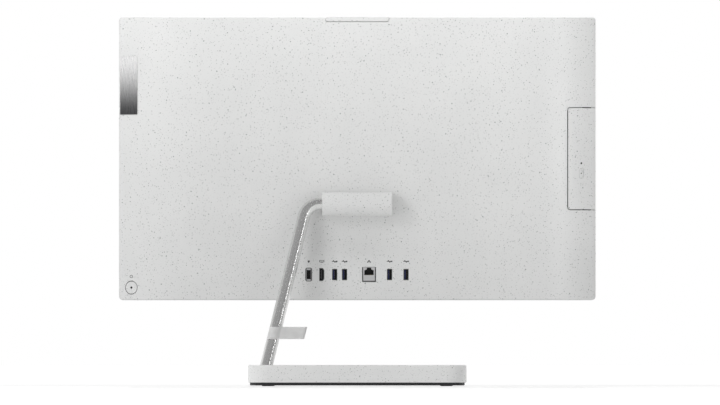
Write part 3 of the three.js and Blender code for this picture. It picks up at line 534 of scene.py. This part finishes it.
def cover_shell(name):
    """The whole curved shell with round outer edges, open towards the screen."""
    fillet_steps = 4
    rings = [outline_ring(0, lambda x: COVER.low.y)]
    for i in range(fillet_steps + 1):
        turn = math.radians(90 * i / fillet_steps)
        inset = COVER_FILLET * (1 - math.cos(turn))
        drop = COVER_FILLET * (1 - math.sin(turn))
        rings.append(outline_ring(inset, lambda x, drop=drop: surface_y(x) - drop))
    inner_back = outline_ring(COVER_WALL, lambda x: surface_y(x) - COVER_WALL)
    inner_front = outline_ring(COVER_WALL, lambda x: COVER.low.y)
    sequence = [inner_back, inner_front] + rings
    count = len(rings[0])
    half = count // 2
    vertices = [point for ring in sequence for point in ring]
    faces = []
    for i in range(len(sequence) - 1):
        a, b = i * count, (i + 1) * count
        for j in range(count):
            k = (j + 1) % count
            faces.append((a + j, a + k, b + k, b + j))
    for start in (0, (len(sequence) - 1) * count):
        for j in range(half - 1):
            other = count - 1 - j
            faces.append((start + j, start + j + 1, start + other - 1, start + other))
    return mesh_object(name, vertices, faces)


def bezel_region(grow, name):
    low = (-COVER.high.x - 20 * MM, BEZEL.low.z - grow)
    high = (BEZEL.high.x + grow, BEZEL.high.z + grow)
    outline = rounded_rect(low, high, 2.5 * MM + grow)
    return prism(name, outline, "y", COVER.low.y - 5 * MM, REAR_Y + 5 * MM)


def chamfered(half, tall, cut_x, cut_z, both):
    """A rectangle with cut corners on its -x side, or on both sides."""
    left = [(-half + cut_x, -tall), (-half, -tall + cut_z), (-half, tall - cut_z)]
    left = left + [(-half + cut_x, tall)]
    if both:
        right = [(half - cut_x, tall), (half, tall - cut_z), (half, -tall + cut_z)]
        right = right + [(half - cut_x, -tall)]
    else:
        right = [(half, tall), (half, -tall)]
    return left + right


def connector_outline(node, grow=0.0):
    port = Box(node)
    half, tall = port.size.x / 2 + grow, port.size.z / 2 + grow
    if node == "hdmi_port":
        points = chamfered(half, tall, 1.9 * MM, 2.6 * MM, both=False)
    elif node == "power_inlet":
        points = chamfered(half, tall, 1.6 * MM, 1.6 * MM, both=True)
    else:
        points = rounded_rect((-half, -tall), (half, tall), 0.5 * MM, 4)
    return [(port.middle.x + x, port.middle.z + z) for x, z in points]


def vent_tools(first, last, z):
    """Slots through the top or bottom wall, in two rows between x first and last."""
    pitch, half_slot, reach, rounding = 4 * MM, 0.9 * MM, 4 * MM, 1e-9
    rows = [(-36.0 * MM, -29.5 * MM), (-27.5 * MM, -21.0 * MM)]
    tools = []
    x = first
    while x <= last + rounding:
        for y0, y1 in rows:
            low = (x - half_slot, y0, z - reach)
            high = (x + half_slot, y1, z + reach)
            tools.append(cuboid("slot", low, high))
        x += pitch
    return tools


def camera_notch():
    """The cutting tool for the camera bar's notch, which runs out through the top."""
    gap, above_top, reach, corner = 0.95 * MM, 0.52, 0.1, 2.5 * MM
    low = (CAMERA_BAR.low.x - gap, CAMERA_CAP_LOW - gap)
    high = (CAMERA_BAR.high.x + gap, above_top)
    return prism("notch", rounded_rect(low, high, corner), "y", -reach, reach)


def camera_liner():
    """A grey lip behind the gap round the camera bar, open at the top; its grey is painted shade for the shadowed
    gap.
    """
    outer, inner = 1.4 * MM, 0.2 * MM
    left, right, top = CAMERA_BAR.low.x, CAMERA_BAR.high.x, COVER.high.z - 1.5 * MM
    outline = [
        (left - outer, top),
        (left - outer, CAMERA_CAP_LOW - outer),
        (right + outer, CAMERA_CAP_LOW - outer),
        (right + outer, top),
        (right + inner, top),
        (right + inner, CAMERA_CAP_LOW - inner),
        (left - inner, CAMERA_CAP_LOW - inner),
        (left - inner, top),
    ]
    front, rear, edge = REAR_Y - 2.2 * MM, REAR_Y - 0.5 * MM, 0.15 * MM
    liner = bevel(prism("camera_liner", outline, "y", front, rear), edge, 2, 50)
    return finish_piece(liner, "display", LINER_SHADE_GREY)


def rear_cover():
    cover = cover_shell("rear_cover_shell")
    tools = [bezel_region(1.15 * MM, "notch"), camera_notch()]
    for node in PORTS:
        outline = connector_outline(node, 0.4 * MM)
        tools.append(prism("hole", outline, "y", REAR_Y - 10 * MM, REAR_Y + 5 * MM))
    power = rod("hole", 8.85 * MM, "y", -8 * MM, 8 * MM, sides=72)
    tools.append(transformed(power, on_surface(POWER.x, POWER.z)))
    tools += vent_tools(92 * MM, 228 * MM, COVER.high.z)
    tools += vent_tools(-228 * MM, -92 * MM, COVER.high.z)
    tools += vent_tools(-156 * MM, 156 * MM, COVER.low.z)
    boolean(cover, tools)
    return finish_piece(cover, "display", WHITE, ["rear_cover"])


def tray_bezel():
    bezel = cover_shell("tray_bezel_skin")
    boolean(bezel, [bezel_region(0, "region")], "INTERSECT")
    gap = 0.3 * MM
    button = eject_outline(gap)
    tools = [
        transformed(prism("hole", button, "y", -8 * MM, 8 * MM), on_surface(EJECT.x, EJECT.z)),
        transformed(rod("hole", 1.3 * MM, "y", -8 * MM, 8 * MM), on_surface(EJECT.x, TRAY_LED_Z)),
        transformed(
            rod("hole", 0.55 * MM, "y", -8 * MM, 8 * MM), on_surface(PINHOLE.x, PINHOLE.z)
        ),
    ]
    boolean(bezel, tools)
    return finish_piece(bezel, "disc_tray", WHITE, ["tray_bezel"])


def eject_outline(grow=0.0):
    half, tall = 2.95 * MM + grow, 6.15 * MM + grow
    return rounded_rect((-half, -tall), (half, tall), 2.3 * MM + grow, 10)


def eject_button():
    button = bevel(prism("eject_button_cap", eject_outline(), "y", -4 * MM, 0), 0.35 * MM, 4)
    boolean(button, [rod("hole", 0.85 * MM, "y", -2.5 * MM, 1 * MM, sides=32)])
    transformed(button, on_surface(EJECT.x, EJECT.z))
    profile = [(0.8 * MM, -2.4 * MM), (0.8 * MM, -0.4 * MM), (0.1 * MM, -0.3 * MM)]
    dot = lathe("eject_dot", profile, 32)
    transformed(dot, on_surface(EJECT.x, EJECT.z))
    finish_piece(dot, "eject_button", DARK_WINDOW)
    return finish_piece(button, "eject_button", WHITE, ["eject_button"])


def power_button():
    radius = 8 * MM
    profile = [(1.5 * MM, -4.4 * MM), (radius, -4.4 * MM)]
    profile += arc((radius - 0.5 * MM, -0.5 * MM), 0.5 * MM, 0, 90, 5)
    profile += [(5 * MM, -0.18 * MM), (2.2 * MM, -0.26 * MM), (1.5 * MM, -0.3 * MM)]
    button = lathe("power_button_cap", profile, 72)
    bore = rod("bore", 1.5 * MM, "y", -3 * MM, 2 * MM, sides=32)
    boolean(button, [bore])
    transformed(button, on_surface(POWER.x, POWER.z))
    return finish_piece(button, "power_button", WHITE, ["power_button"])


def light_window(name, body, node, x, z, radius):
    """A small dark domed window."""
    profile = [(radius, -3 * MM), (radius, -0.35 * MM), (radius * 0.7, -0.2 * MM)]
    profile.append((radius * 0.1, -0.12 * MM))
    window = transformed(lathe(name, profile, 32), on_surface(x, z))
    return finish_piece(window, body, DARK_WINDOW, [node])


def name_plate():
    """A thin plate with bevelled edges that follows the cover's curve."""
    lift, under = 0.9 * MM, 0.25 * MM
    steps = 14
    rows = []
    for i in range(steps + 1):
        x = PLATE.low.x + (PLATE.high.x - PLATE.low.x) * i / steps
        y = surface_y(x)
        turn = surface_turn(x)
        out = Vector((-math.sin(turn), math.cos(turn), 0))
        rows.append((Vector((x, y, 0)), out))
    bottom = [p + out * under for p, out in rows]
    top = [p + out * lift for p, out in reversed(rows)]
    section = bottom + top
    rings = [[Vector((p.x, p.y, z)) for p in section] for z in (PLATE.low.z, PLATE.high.z)]
    plate = bevel(loft("name_plate_skin", rings), 0.25 * MM, 3, 50)
    return finish_piece(plate, "display", BADGE, ["name_plate"])


def pictogram_strips(shape, size):
    """Thin bars, (x0, z0, x1, z1) in shares of the size, for one small printed sign."""
    bars = {
        "plug": [
            (0.3, 0, 0.7, 0.35), (0.12, 0.3, 0.88, 0.7), (0.2, 0.7, 0.42, 1), (0.58, 0.7, 0.8, 1),
        ],
        "screen": [
            (0, 0.2, 1, 0.38), (0, 0.82, 1, 1), (0, 0.2, 0.12, 1), (0.88, 0.2, 1, 1),
            (0.25, 0, 0.75, 0.14),
        ],
        "network": [
            (0.3, 0.6, 0.7, 1), (0, 0, 0.34, 0.38), (0.66, 0, 1, 0.38), (0.1, 0.4, 0.9, 0.58),
        ],
        "data": [
            (0, 0.37, 0.8, 0.63), (0.74, 0.22, 1, 0.78), (0.2, 0.55, 0.38, 1),
            (0.46, 0, 0.64, 0.45),
        ],
    }
    width, height = size
    return [
        (width * (a - 0.5), height * (b - 0.5), width * (c - 0.5), height * (d - 0.5))
        for a, b, c, d in bars[shape]
    ]


def pictograms():
    """Generic printed signs over the sockets, a few hundredths of a millimetre proud."""
    signs = {
        "power_inlet": ("plug", 3.4),
        "hdmi_port": ("screen", 6.4),
        "ethernet_port": ("network", 4.6),
    }
    signs.update({f"usb_port_{n}": ("data", 7.2) for n in range(1, 5)})
    height, above = 3.1 * MM, 16.9 * MM
    strips = []
    for node, (shape, width) in signs.items():
        port = Box(node)
        for x0, z0, x1, z1 in pictogram_strips(shape, (width * MM, height)):
            low = (port.middle.x - x1, REAR_Y - 0.1 * MM, port.middle.z + above + z0)
            high = (port.middle.x - x0, REAR_Y + 0.04 * MM, port.middle.z + above + z1)
            strips.append(cuboid("bar", low, high))
    signs = joined("printed_signs", strips)
    return finish_piece(signs, "display", INK)


def power_sign():
    """The ring over the power button, printed on the curve."""
    outer, inner = 2.0 * MM, 1.45 * MM
    start, end, steps = 118, 422, 40
    points = arc((0, 0), outer, start, end, steps) + list(
        reversed(arc((0, 0), inner, start, end, steps))
    )
    ring = prism("ring", points, "y", -0.1 * MM, 0.05 * MM)
    bar = cuboid("bar", (-0.25 * MM, -0.1 * MM, 0.6 * MM), (0.25 * MM, 0.05 * MM, 2.2 * MM))
    sign = joined("power_sign", [ring, bar])
    transformed(sign, on_surface(POWER.x, 141.1 * MM))
    return finish_piece(sign, "display", INK)


# ---- connectors ----


def inset_outline(points, middle, amount):
    return [
        (x - math.copysign(amount, x - middle[0]), z - math.copysign(amount, z - middle[1]))
        for x, z in points
    ]


def port_shell(node, wall, depth, material, opening=None):
    """A connector's body with a small bevel round its rim, then its socket cut in it."""
    port = Box(node)
    middle = (port.middle.x, port.middle.z)
    outer = connector_outline(node)
    body = prism(node + "_shell", outer, "y", port.low.y, port.high.y)
    shell = bevel(body, 0.12 * MM, 2, 50)
    socket = opening or inset_outline(outer, middle, wall)
    boolean(shell, [prism("socket", socket, "y", port.high.y - depth, port.high.y + 1 * MM)])
    return finish_piece(shell, "display", material, [node])


def shade_lining(name, node, outline, depth, material):
    """The dark floor and walls inside a socket, a thin cup set in it: painted shade for the darkness deep in the
    socket.
    """
    port = Box(node)
    middle = (port.middle.x, port.middle.z)
    cup = prism(name, outline, "y", port.high.y - depth, port.high.y - 0.7 * MM)
    hollow = inset_outline(outline, middle, 0.18 * MM)
    floor = port.high.y - depth + 0.5 * MM
    boolean(cup, [prism("hollow", hollow, "y", floor, port.high.y + 1 * MM)])
    return finish_piece(cup, "display", material)


def usb_port(number):
    node = f"usb_port_{number}"
    port = Box(node)
    x, z, back = port.middle.x, port.middle.z, port.high.y
    port_shell(node, 0.26 * MM, 13 * MM, PORT_STEEL)
    inside = rounded_rect((x - 2.6 * MM, z - 6.55 * MM), (x + 2.6 * MM, z + 6.55 * MM), 0.3 * MM, 3)
    # A black cup inside the socket: painted shade.
    shade_lining(f"usb_lining_{number}", node, inside, 12.8 * MM, PORT_BLACK)
    tongue = cuboid(
        f"usb_tongue_{number}",
        (x + 0.15 * MM, back - 12.5 * MM, z - 5.6 * MM),
        (x + 2.2 * MM, back - 0.6 * MM, z + 5.6 * MM),
    )
    bevel(tongue, 0.25 * MM, 3)
    finish_piece(tongue, "display", NAVY)
    contacts = []
    for offset in (-3.5, -1.1, 1.1, 3.5):
        low = (x + 0.06 * MM, back - 10 * MM, z + (offset - 0.5) * MM)
        high = (x + 0.25 * MM, back - 4.2 * MM, z + (offset + 0.5) * MM)
        contacts.append(cuboid("contact", low, high))
    finish_piece(joined(f"usb_contacts_{number}", contacts), "display", GOLD)


def hdmi_port():
    port = Box("hdmi_port")
    x, z, back = port.middle.x, port.middle.z, port.high.y
    port_shell("hdmi_port", 0.3 * MM, 13 * MM, PORT_STEEL)
    inside = inset_outline(connector_outline("hdmi_port"), (x, z), 0.34 * MM)
    # A black cup inside the socket: painted shade.
    shade_lining("hdmi_shade_lining", "hdmi_port", inside, 12.8 * MM, PORT_BLACK)
    tongue = cuboid(
        "hdmi_tongue",
        (x - 0.3 * MM, back - 12.5 * MM, z - 5.9 * MM),
        (x + 0.9 * MM, back - 1.6 * MM, z + 5.9 * MM),
    )
    bevel(tongue, 0.2 * MM, 3)
    finish_piece(tongue, "display", TONGUE_GREY)


def ethernet_port():
    port = Box("ethernet_port")
    x, z, back = port.middle.x, port.middle.z, port.high.y
    half, low, high = 6.05 * MM, -0.7 * MM, 5.4 * MM
    shoulder, step = 3.8 * MM, 6.3 * MM
    latch, top = 2.8 * MM, 8.9 * MM
    side = [(half, low), (half, high), (shoulder, step), (latch, step + 0.6 * MM), (latch, top)]
    opening = [(x + a, z + b) for a, b in side] + [(x - a, z + b) for a, b in reversed(side)]
    port_shell("ethernet_port", 0, 17 * MM, NICKEL, opening)
    walls = prism("network_lining", opening, "y", back - 16.8 * MM, back - 0.5 * MM)
    middle_z = z + 4 * MM
    hollow = inset_outline(opening, (x, middle_z), 0.15 * MM)
    boolean(walls, [prism("hollow", hollow, "y", back - 16 * MM, back + 1 * MM)])
    finish_piece(walls, "display", PORT_BLACK)
    contacts = []
    for i in range(8):
        place = x + (i - 3.5) * 1.02 * MM
        contacts.append(
            cuboid(
                "contact",
                (place - 0.2 * MM, back - 14 * MM, z + low + 0.15 * MM),
                (place + 0.2 * MM, back - 8 * MM, z + low + 0.5 * MM),
            )
        )
    finish_piece(joined("network_contacts", contacts), "display", GOLD)
    # A thin dark frame at the socket's left, right and lower edges: painted shadow for the shadowed gap between
    # the cover's cutout and the jack.
    half_rim, tall_rim = 8.5 * MM, 9.2 * MM
    frame_ring = rounded_rect(
        (x - half_rim, z - tall_rim), (x + half_rim, z + tall_rim), 0.5 * MM, 4
    )
    rim = prism("network_shadow_rim", frame_ring, "y", back + 0.02 * MM, back + 0.3 * MM)
    face = rounded_rect((x - 7.5 * MM, z - 8.0 * MM), (x + 7.5 * MM, z + 9.3 * MM), 0.3 * MM, 3)
    boolean(rim, [prism("face", face, "y", back - 1 * MM, back + 1 * MM)])
    finish_piece(rim, "display", TONGUE_GREY)


def power_inlet():
    port = Box("power_inlet")
    x, z, back = port.middle.x, port.middle.z, port.high.y
    slot = rounded_rect((x - 2.5 * MM, z - 5.4 * MM), (x + 2.5 * MM, z + 5.4 * MM), 0.6 * MM, 4)
    port_shell("power_inlet", 0, 11 * MM, PORT_BLACK, slot)
    ends = []
    for side in (-1, 1):
        low_z, high_z = sorted((z + side * 5.9 * MM, z + side * 8.0 * MM))
        ends.append(
            cuboid(
                "end",
                (x - 2.2 * MM, back - 0.2 * MM, low_z),
                (x + 2.2 * MM, back + 0.25 * MM, high_z),
            )
        )
    caps = bevel(joined("inlet_end_plates", ends), 0.12 * MM, 2)
    finish_piece(caps, "display", BRIGHT)
    outer = rounded_rect((x - 3.3 * MM, z - 7.8 * MM), (x + 3.3 * MM, z + 7.8 * MM), 1.2 * MM, 4)
    inner = rounded_rect((x - 2.85 * MM, z - 7.4 * MM), (x + 2.85 * MM, z + 7.4 * MM), 0.9 * MM, 4)
    ring = prism("inlet_ring", outer, "y", back - 0.2 * MM, back + 0.2 * MM)
    boolean(ring, [prism("inside", inner, "y", back - 1 * MM, back + 1 * MM)])
    finish_piece(ring, "display", BRIGHT)
    pin = rod("inlet_pin", 0.55 * MM, "y", back - 10.8 * MM, back - 2 * MM, (x, z), 24)
    finish_piece(bevel(pin, 0.15 * MM, 3), "display", PORT_BLACK)


# ---- hinge sleeve and stand ----


def d_outline(inset, steps=40):
    """The sleeve's section in y and z: flat against the cover, round behind, with a low step."""
    radius = SLEEVE.size.z / 2 - inset
    step, flat_y, middle = 0.4 * MM, SLEEVE.low.y - 0.3 * MM, (AXIS.y, AXIS.z)
    back = arc(middle, radius, -90, 26, steps) + arc(middle, radius - step, 27, 90, steps // 2)
    return [(flat_y, AXIS.z - radius)] + back + [(flat_y, AXIS.z + radius - step)]


def hinge_sleeve():
    fillet = 1.0 * MM
    rings = []
    for side in (-1, 1):
        stations = []
        for i in range(5):
            turn = math.radians(90 * i / 4)
            inset = fillet * (1 - math.sin(turn))
            along = SLEEVE.high.x - fillet * (1 - math.cos(turn))
            stations.append((inset, side * along))
        stations.sort(key=lambda s: s[1])
        rings += [place_outline(d_outline(inset), "x", x) for inset, x in stations]
    sleeve = loft("hinge_sleeve", rings)
    hole = rod("hole", 8.6 * MM, "x", SLEEVE.high.x - 6 * MM, 0.1, (AXIS.y, AXIS.z), 64)
    boolean(sleeve, [hole])
    return finish_piece(sleeve, "display", WHITE, ["hinge_cover"])


TUBE_RADIUS = 8.1 * MM
TUBE_CORNER_X = 64.6 * MM
BEND_RADIUS = 21.5 * MM
LEAN = Vector((0.2505, 0.2222, -1))


def tube_line(z):
    """A point on the middle of the tube's straight lower leg."""
    return Vector((TUBE_CORNER_X, AXIS.y, AXIS.z)) + LEAN * (AXIS.z - z)


def bent_path(start, corner, end, radius, steps):
    into, out = (corner - start).normalized(), (end - corner).normalized()
    turn = into.angle(out)
    setback = radius * math.tan(turn / 2)
    first = corner - into * setback
    pivot = into.cross(out).normalized()
    centre = first + pivot.cross(into) * radius
    bend = []
    for i in range(steps + 1):
        spin = Matrix.Rotation(turn * i / steps, 3, pivot)
        bend.append((centre + spin @ (first - centre), spin @ into))
    return [(start, into)] + bend + [(end, out)]


def swept_tube(name, path, radius, sides=64):
    """A round tube along (point, direction) stations, without twist."""
    rings = []
    normal = path[0][1].orthogonal().normalized()
    for point, direction in path:
        normal = (normal - direction * normal.dot(direction)).normalized()
        across = direction.cross(normal)
        turns = [2 * math.pi * j / sides for j in range(sides)]
        rings.append(
            [point + (normal * math.cos(t) + across * math.sin(t)) * radius for t in turns]
        )
    return loft(name, rings)


def stand_tube():
    corner = Vector((TUBE_CORNER_X, AXIS.y, AXIS.z))
    start = Vector((20 * MM, AXIS.y, AXIS.z))
    path = bent_path(start, corner, tube_line(16 * MM), BEND_RADIUS, 36)
    tube = swept_tube("stand_tube_skin", path, TUBE_RADIUS)
    return finish_piece(tube, "stand", TUBE_METAL, ["stand_tube"])


def cable_clip():
    clip = bevel(copy_of_node("cable_clip", "cable_clip_body"), 0.3 * MM, 3, 50)
    return finish_piece(clip, "stand", CLIP, ["cable_clip"], 40)


# ---- base ----

BASE_CORNER = 26 * MM


def slab_ring(inset, z, steps=24):
    low = (BASE.low.x + inset, BASE.low.y + inset)
    high = (BASE.high.x - inset, BASE.high.y - inset)
    return place_outline(rounded_rect(low, high, BASE_CORNER - inset, steps), "z", z)


def base_shell():
    fillet, steps = 2.4 * MM, 6
    rings = [slab_ring(0.3 * MM, BASE.low.z), slab_ring(0, BASE.low.z + 0.3 * MM)]
    for i in range(steps + 1):
        turn = math.radians(90 * i / steps)
        inset = fillet * (1 - math.cos(turn))
        rings.append(slab_ring(inset, BASE.high.z - fillet * (1 - math.sin(turn))))
    shell = loft("base_shell_body", rings)
    path = [(tube_line(0.05), LEAN.normalized()), (tube_line(0.02), LEAN.normalized())]
    hole = swept_tube("hole", path, TUBE_RADIUS + 0.35 * MM)
    boolean(shell, [hole])
    return finish_piece(shell, "stand", BASE_WHITE_PAINTED_LIGHT, ["base_shell"])


def base_underplate():
    plate = Box("base_underplate")
    inset = BASE.high.x - plate.high.x
    rings = [
        slab_ring(inset + 0.9 * MM, plate.low.z),
        slab_ring(inset, plate.low.z + 0.9 * MM),
        slab_ring(inset, BASE.low.z - 0.02 * MM),
    ]
    under = loft("base_underplate_body", rings)
    gap = 0.3 * MM
    tools = []
    for n in range(1, 5):
        foot = Box(f"rubber_foot_{n}")
        centre = (foot.middle.x, foot.middle.y)
        roof = foot.high.z + 0.1 * MM
        tools.append(rod("pocket", foot.size.x / 2 + gap, "z", 0, roof, centre))
    for n in range(1, 4):
        screw = Box(f"base_screw_{n}")
        centre = (screw.middle.x, screw.middle.y)
        roof = BASE.low.z - 0.5 * MM
        tools.append(rod("recess", screw.size.x / 2 + gap, "z", 0, roof, centre))
    boolean(under, tools)
    return finish_piece(under, "stand", BLACK, ["base_underplate"])


def rubber_feet():
    for n in range(1, 5):
        foot = bevel(copy_of_node(f"rubber_foot_{n}", f"foot_{n}"), 0.25 * MM, 3, 60)
        finish_piece(foot, "stand", RUBBER, [f"rubber_foot_{n}"])


# ---- front, camera bar and the nodes that keep their CAD shape ----


def refined(node, name, body, material, width, angle=50):
    piece = bevel(copy_of_node(node, name), width, 3, angle)
    return finish_piece(piece, body, material, [node], 40)


def front_pieces():
    refined("front_frame", "front_frame_body", "display", WHITE, 0.5 * MM)
    refined("screen_glass", "screen_glass_sheet", "display", SCREEN, 0.3 * MM)
    refined("camera_bar", "camera_bar_body", "camera_bar", WHITE, 0.35 * MM)
    refined("disc_tray", "disc_tray_body", "disc_tray", BLACK, 0.3 * MM)
    refined("disc_hub", "disc_hub_body", "disc_tray", BLACK, 0.2 * MM)


NODE_PAINTS = {
    "plate_steel": STEEL,
    "bright_steel": BRIGHT,
    "cast_aluminium": ALUMINIUM,
    "pipe_copper": COPPER,
    "circuit_board": BOARD,
    "black_plastic": BLACK,
    "foot_rubber": RUBBER,
    "screen_glass": SCREEN,
    "light_window": DARK_WINDOW,
    "shell_plastic": WHITE,
    "name_plate_metal": BADGE,
    "stand_metal": TUBE_METAL,
    "clip_plastic": CLIP,
}


def paint_cad_nodes():
    """Every CAD node that still shows takes the procedural material of its slot."""
    for entry in frame["record"]["subparts"]:
        node = frame["nodes"][entry["node"]]
        material = NODE_PAINTS[entry["material_slot"]]
        if not node.material_slots:
            node.data.materials.append(material)
        for slot in node.material_slots:
            slot.material = material


# ---- stage, light and camera ----


def studio_floor():
    """A wide pale floor whose emission rises with distance from the object: painted shadow, dim near the object
    and luminous a few metres away.
    """
    size = 400
    outline = [(-size, -size), (size, -size), (size, size), (-size, size)]
    mesh = bpy.data.meshes.new("studio_floor")
    mesh.from_pydata([(x, y, 0) for x, y in outline], [], [(0, 1, 2, 3)])
    floor = link("studio_floor", mesh)
    paint = Paint("floor_pale_painted_shadow", 0.3)
    paint.colour(paint.mixed(paint.noise(3, 2), (0.72, 0.72, 0.72), (0.76, 0.76, 0.76)))
    distance = paint.node("ShaderNodeVectorMath", operation="LENGTH")
    paint.wire(paint.place, distance.inputs[0])
    # Painted shadow: the floor's emission is weakest near the object and reaches full strength four metres out.
    glow_with_painted_shadow = paint.ranged(distance.outputs["Value"], 0.2, 4.0, 0.24, 0.5)
    paint.shader.inputs["Emission Color"].default_value = (1, 1, 1, 1)
    paint.wire(glow_with_painted_shadow, paint.shader.inputs["Emission Strength"])
    floor.data.materials.append(paint.material)


def soft_light(name, place, aim, size, power, spread=180, in_mirrors=False):
    """An area light that the camera doesn't see, and that shows in metal only where asked."""
    data = bpy.data.lights.new(name, "AREA")
    data.shape = "RECTANGLE"
    data.size, data.size_y = size
    data.energy = power
    data.spread = math.radians(spread)
    lamp = bpy.data.objects.new(name, data)
    bpy.context.scene.collection.objects.link(lamp)
    lamp.location = place
    lamp.rotation_mode = "QUATERNION"
    lamp.rotation_quaternion = (Vector(aim) - Vector(place)).to_track_quat("-Z", "Y")
    lamp.visible_camera = False
    lamp.visible_glossy = in_mirrors


def studio_world():
    """White to the camera and on the screen's side, dimmer on the other, less so in mirrors."""
    world = bpy.data.worlds.new("studio_world")
    bpy.context.scene.world = world
    world.use_nodes = True
    nodes, links = world.node_tree.nodes, world.node_tree.links
    direction = nodes.new("ShaderNodeTexCoord")
    split = nodes.new("ShaderNodeSeparateXYZ")
    links.new(direction.outputs["Generated"], split.inputs["Vector"])

    def ranged(value, low, high, to_low, to_high):
        """A range whose upper result is a number or another node's output."""
        made = nodes.new("ShaderNodeMapRange")
        made.inputs["From Min"].default_value = low
        made.inputs["From Max"].default_value = high
        made.inputs["To Min"].default_value = to_low
        if isinstance(to_high, (int, float)):
            made.inputs["To Max"].default_value = to_high
        else:
            links.new(to_high, made.inputs["To Max"])
        links.new(value, made.inputs["Value"])
        return made.outputs["Result"]

    def brighter(first, second):
        made = nodes.new("ShaderNodeMath")
        made.operation = "MAXIMUM"
        links.new(first, made.inputs[0])
        links.new(second, made.inputs[1])
        return made.outputs[0]

    ray = nodes.new("ShaderNodeLightPath")
    sideways = ranged(split.outputs["X"], -0.8, 0.8, 0.14, 0.42)
    backwards = ranged(split.outputs["Y"], -0.35, 0.1, 0.95, sideways)
    mirrored = ranged(split.outputs["X"], -0.9, 0.9, 0.28, 0.40)
    mirrors = ranged(ray.outputs["Is Glossy Ray"], 0, 1, 0, mirrored)
    seen = brighter(brighter(backwards, mirrors), ray.outputs["Is Camera Ray"])
    background = nodes["Background"]
    background.inputs["Color"].default_value = (1, 1, 1, 1)
    links.new(seen, background.inputs["Strength"])


def studio_lights():
    middle = (0, 0, 0.25)
    soft_light("top_strip", (0.05, 0.26, 0.80), (0.05, -0.01, 0.42), (1.3, 0.12), 1.85)
    soft_light("key_light", (1.7, 1.5, 1.3), middle, (0.8, 0.8), 11.5)
    soft_light("low_key_light", (1.25, 1.45, 0.22), (0.1, 0, 0.1), (0.7, 0.35), 3)
    strip_aim = (-0.27, 0, 0.28)
    soft_light("side_strip", (-0.65, 0.58, 0.30), strip_aim, (0.035, 0.45), 0.12, 70, True)
    soft_light("tube_light", (0.1, 2.0, 1.1), (0.05, 0, 0.15), (0.45, 0.6), 0.085, 180, True)
    soft_light("side_light", (-1.5, 1.9, 0.7), middle, (0.9, 0.9), 1.5)


def photo_camera():
    """A long lens a long way behind, level with the base, aimed a little upwards."""
    frame_width = 925.8 * MM
    distance = 20.0
    sensor = 36.0
    eye_height = 27 * MM
    farthest_seen = 1000
    target = Vector((-3.5 * MM, 0, 236 * MM))
    place = Vector((target.x, distance, eye_height))
    data = bpy.data.cameras.new("photo_camera")
    data.type = "PERSP"
    data.sensor_width = sensor
    data.lens = sensor * distance / frame_width
    data.clip_end = farthest_seen
    camera = bpy.data.objects.new("photo_camera", data)
    bpy.context.scene.collection.objects.link(camera)
    camera.location = place
    camera.rotation_mode = "QUATERNION"
    camera.rotation_quaternion = (target - place).to_track_quat("-Z", "Y")
    bpy.context.scene.camera = camera


photo_camera()
studio_world()
studio_lights()
studio_floor()
bpy.context.scene.view_settings.view_transform = "Standard"

paint_cad_nodes()
rear_cover()
camera_liner()
tray_bezel()
eject_button()
power_button()
light_window("power_light", "power_button", "power_led", POWER.x, POWER.z, 1.4 * MM)
light_window("tray_light", "disc_tray", "tray_led", EJECT.x, TRAY_LED_Z, 1.35 * MM)
name_plate()
pictograms()
power_sign()
for number in range(1, 5):
    usb_port(number)
hdmi_port()
ethernet_port()
power_inlet()
hinge_sleeve()
stand_tube()
cable_clip()
base_shell()
base_underplate()
rubber_feet()
front_pieces()
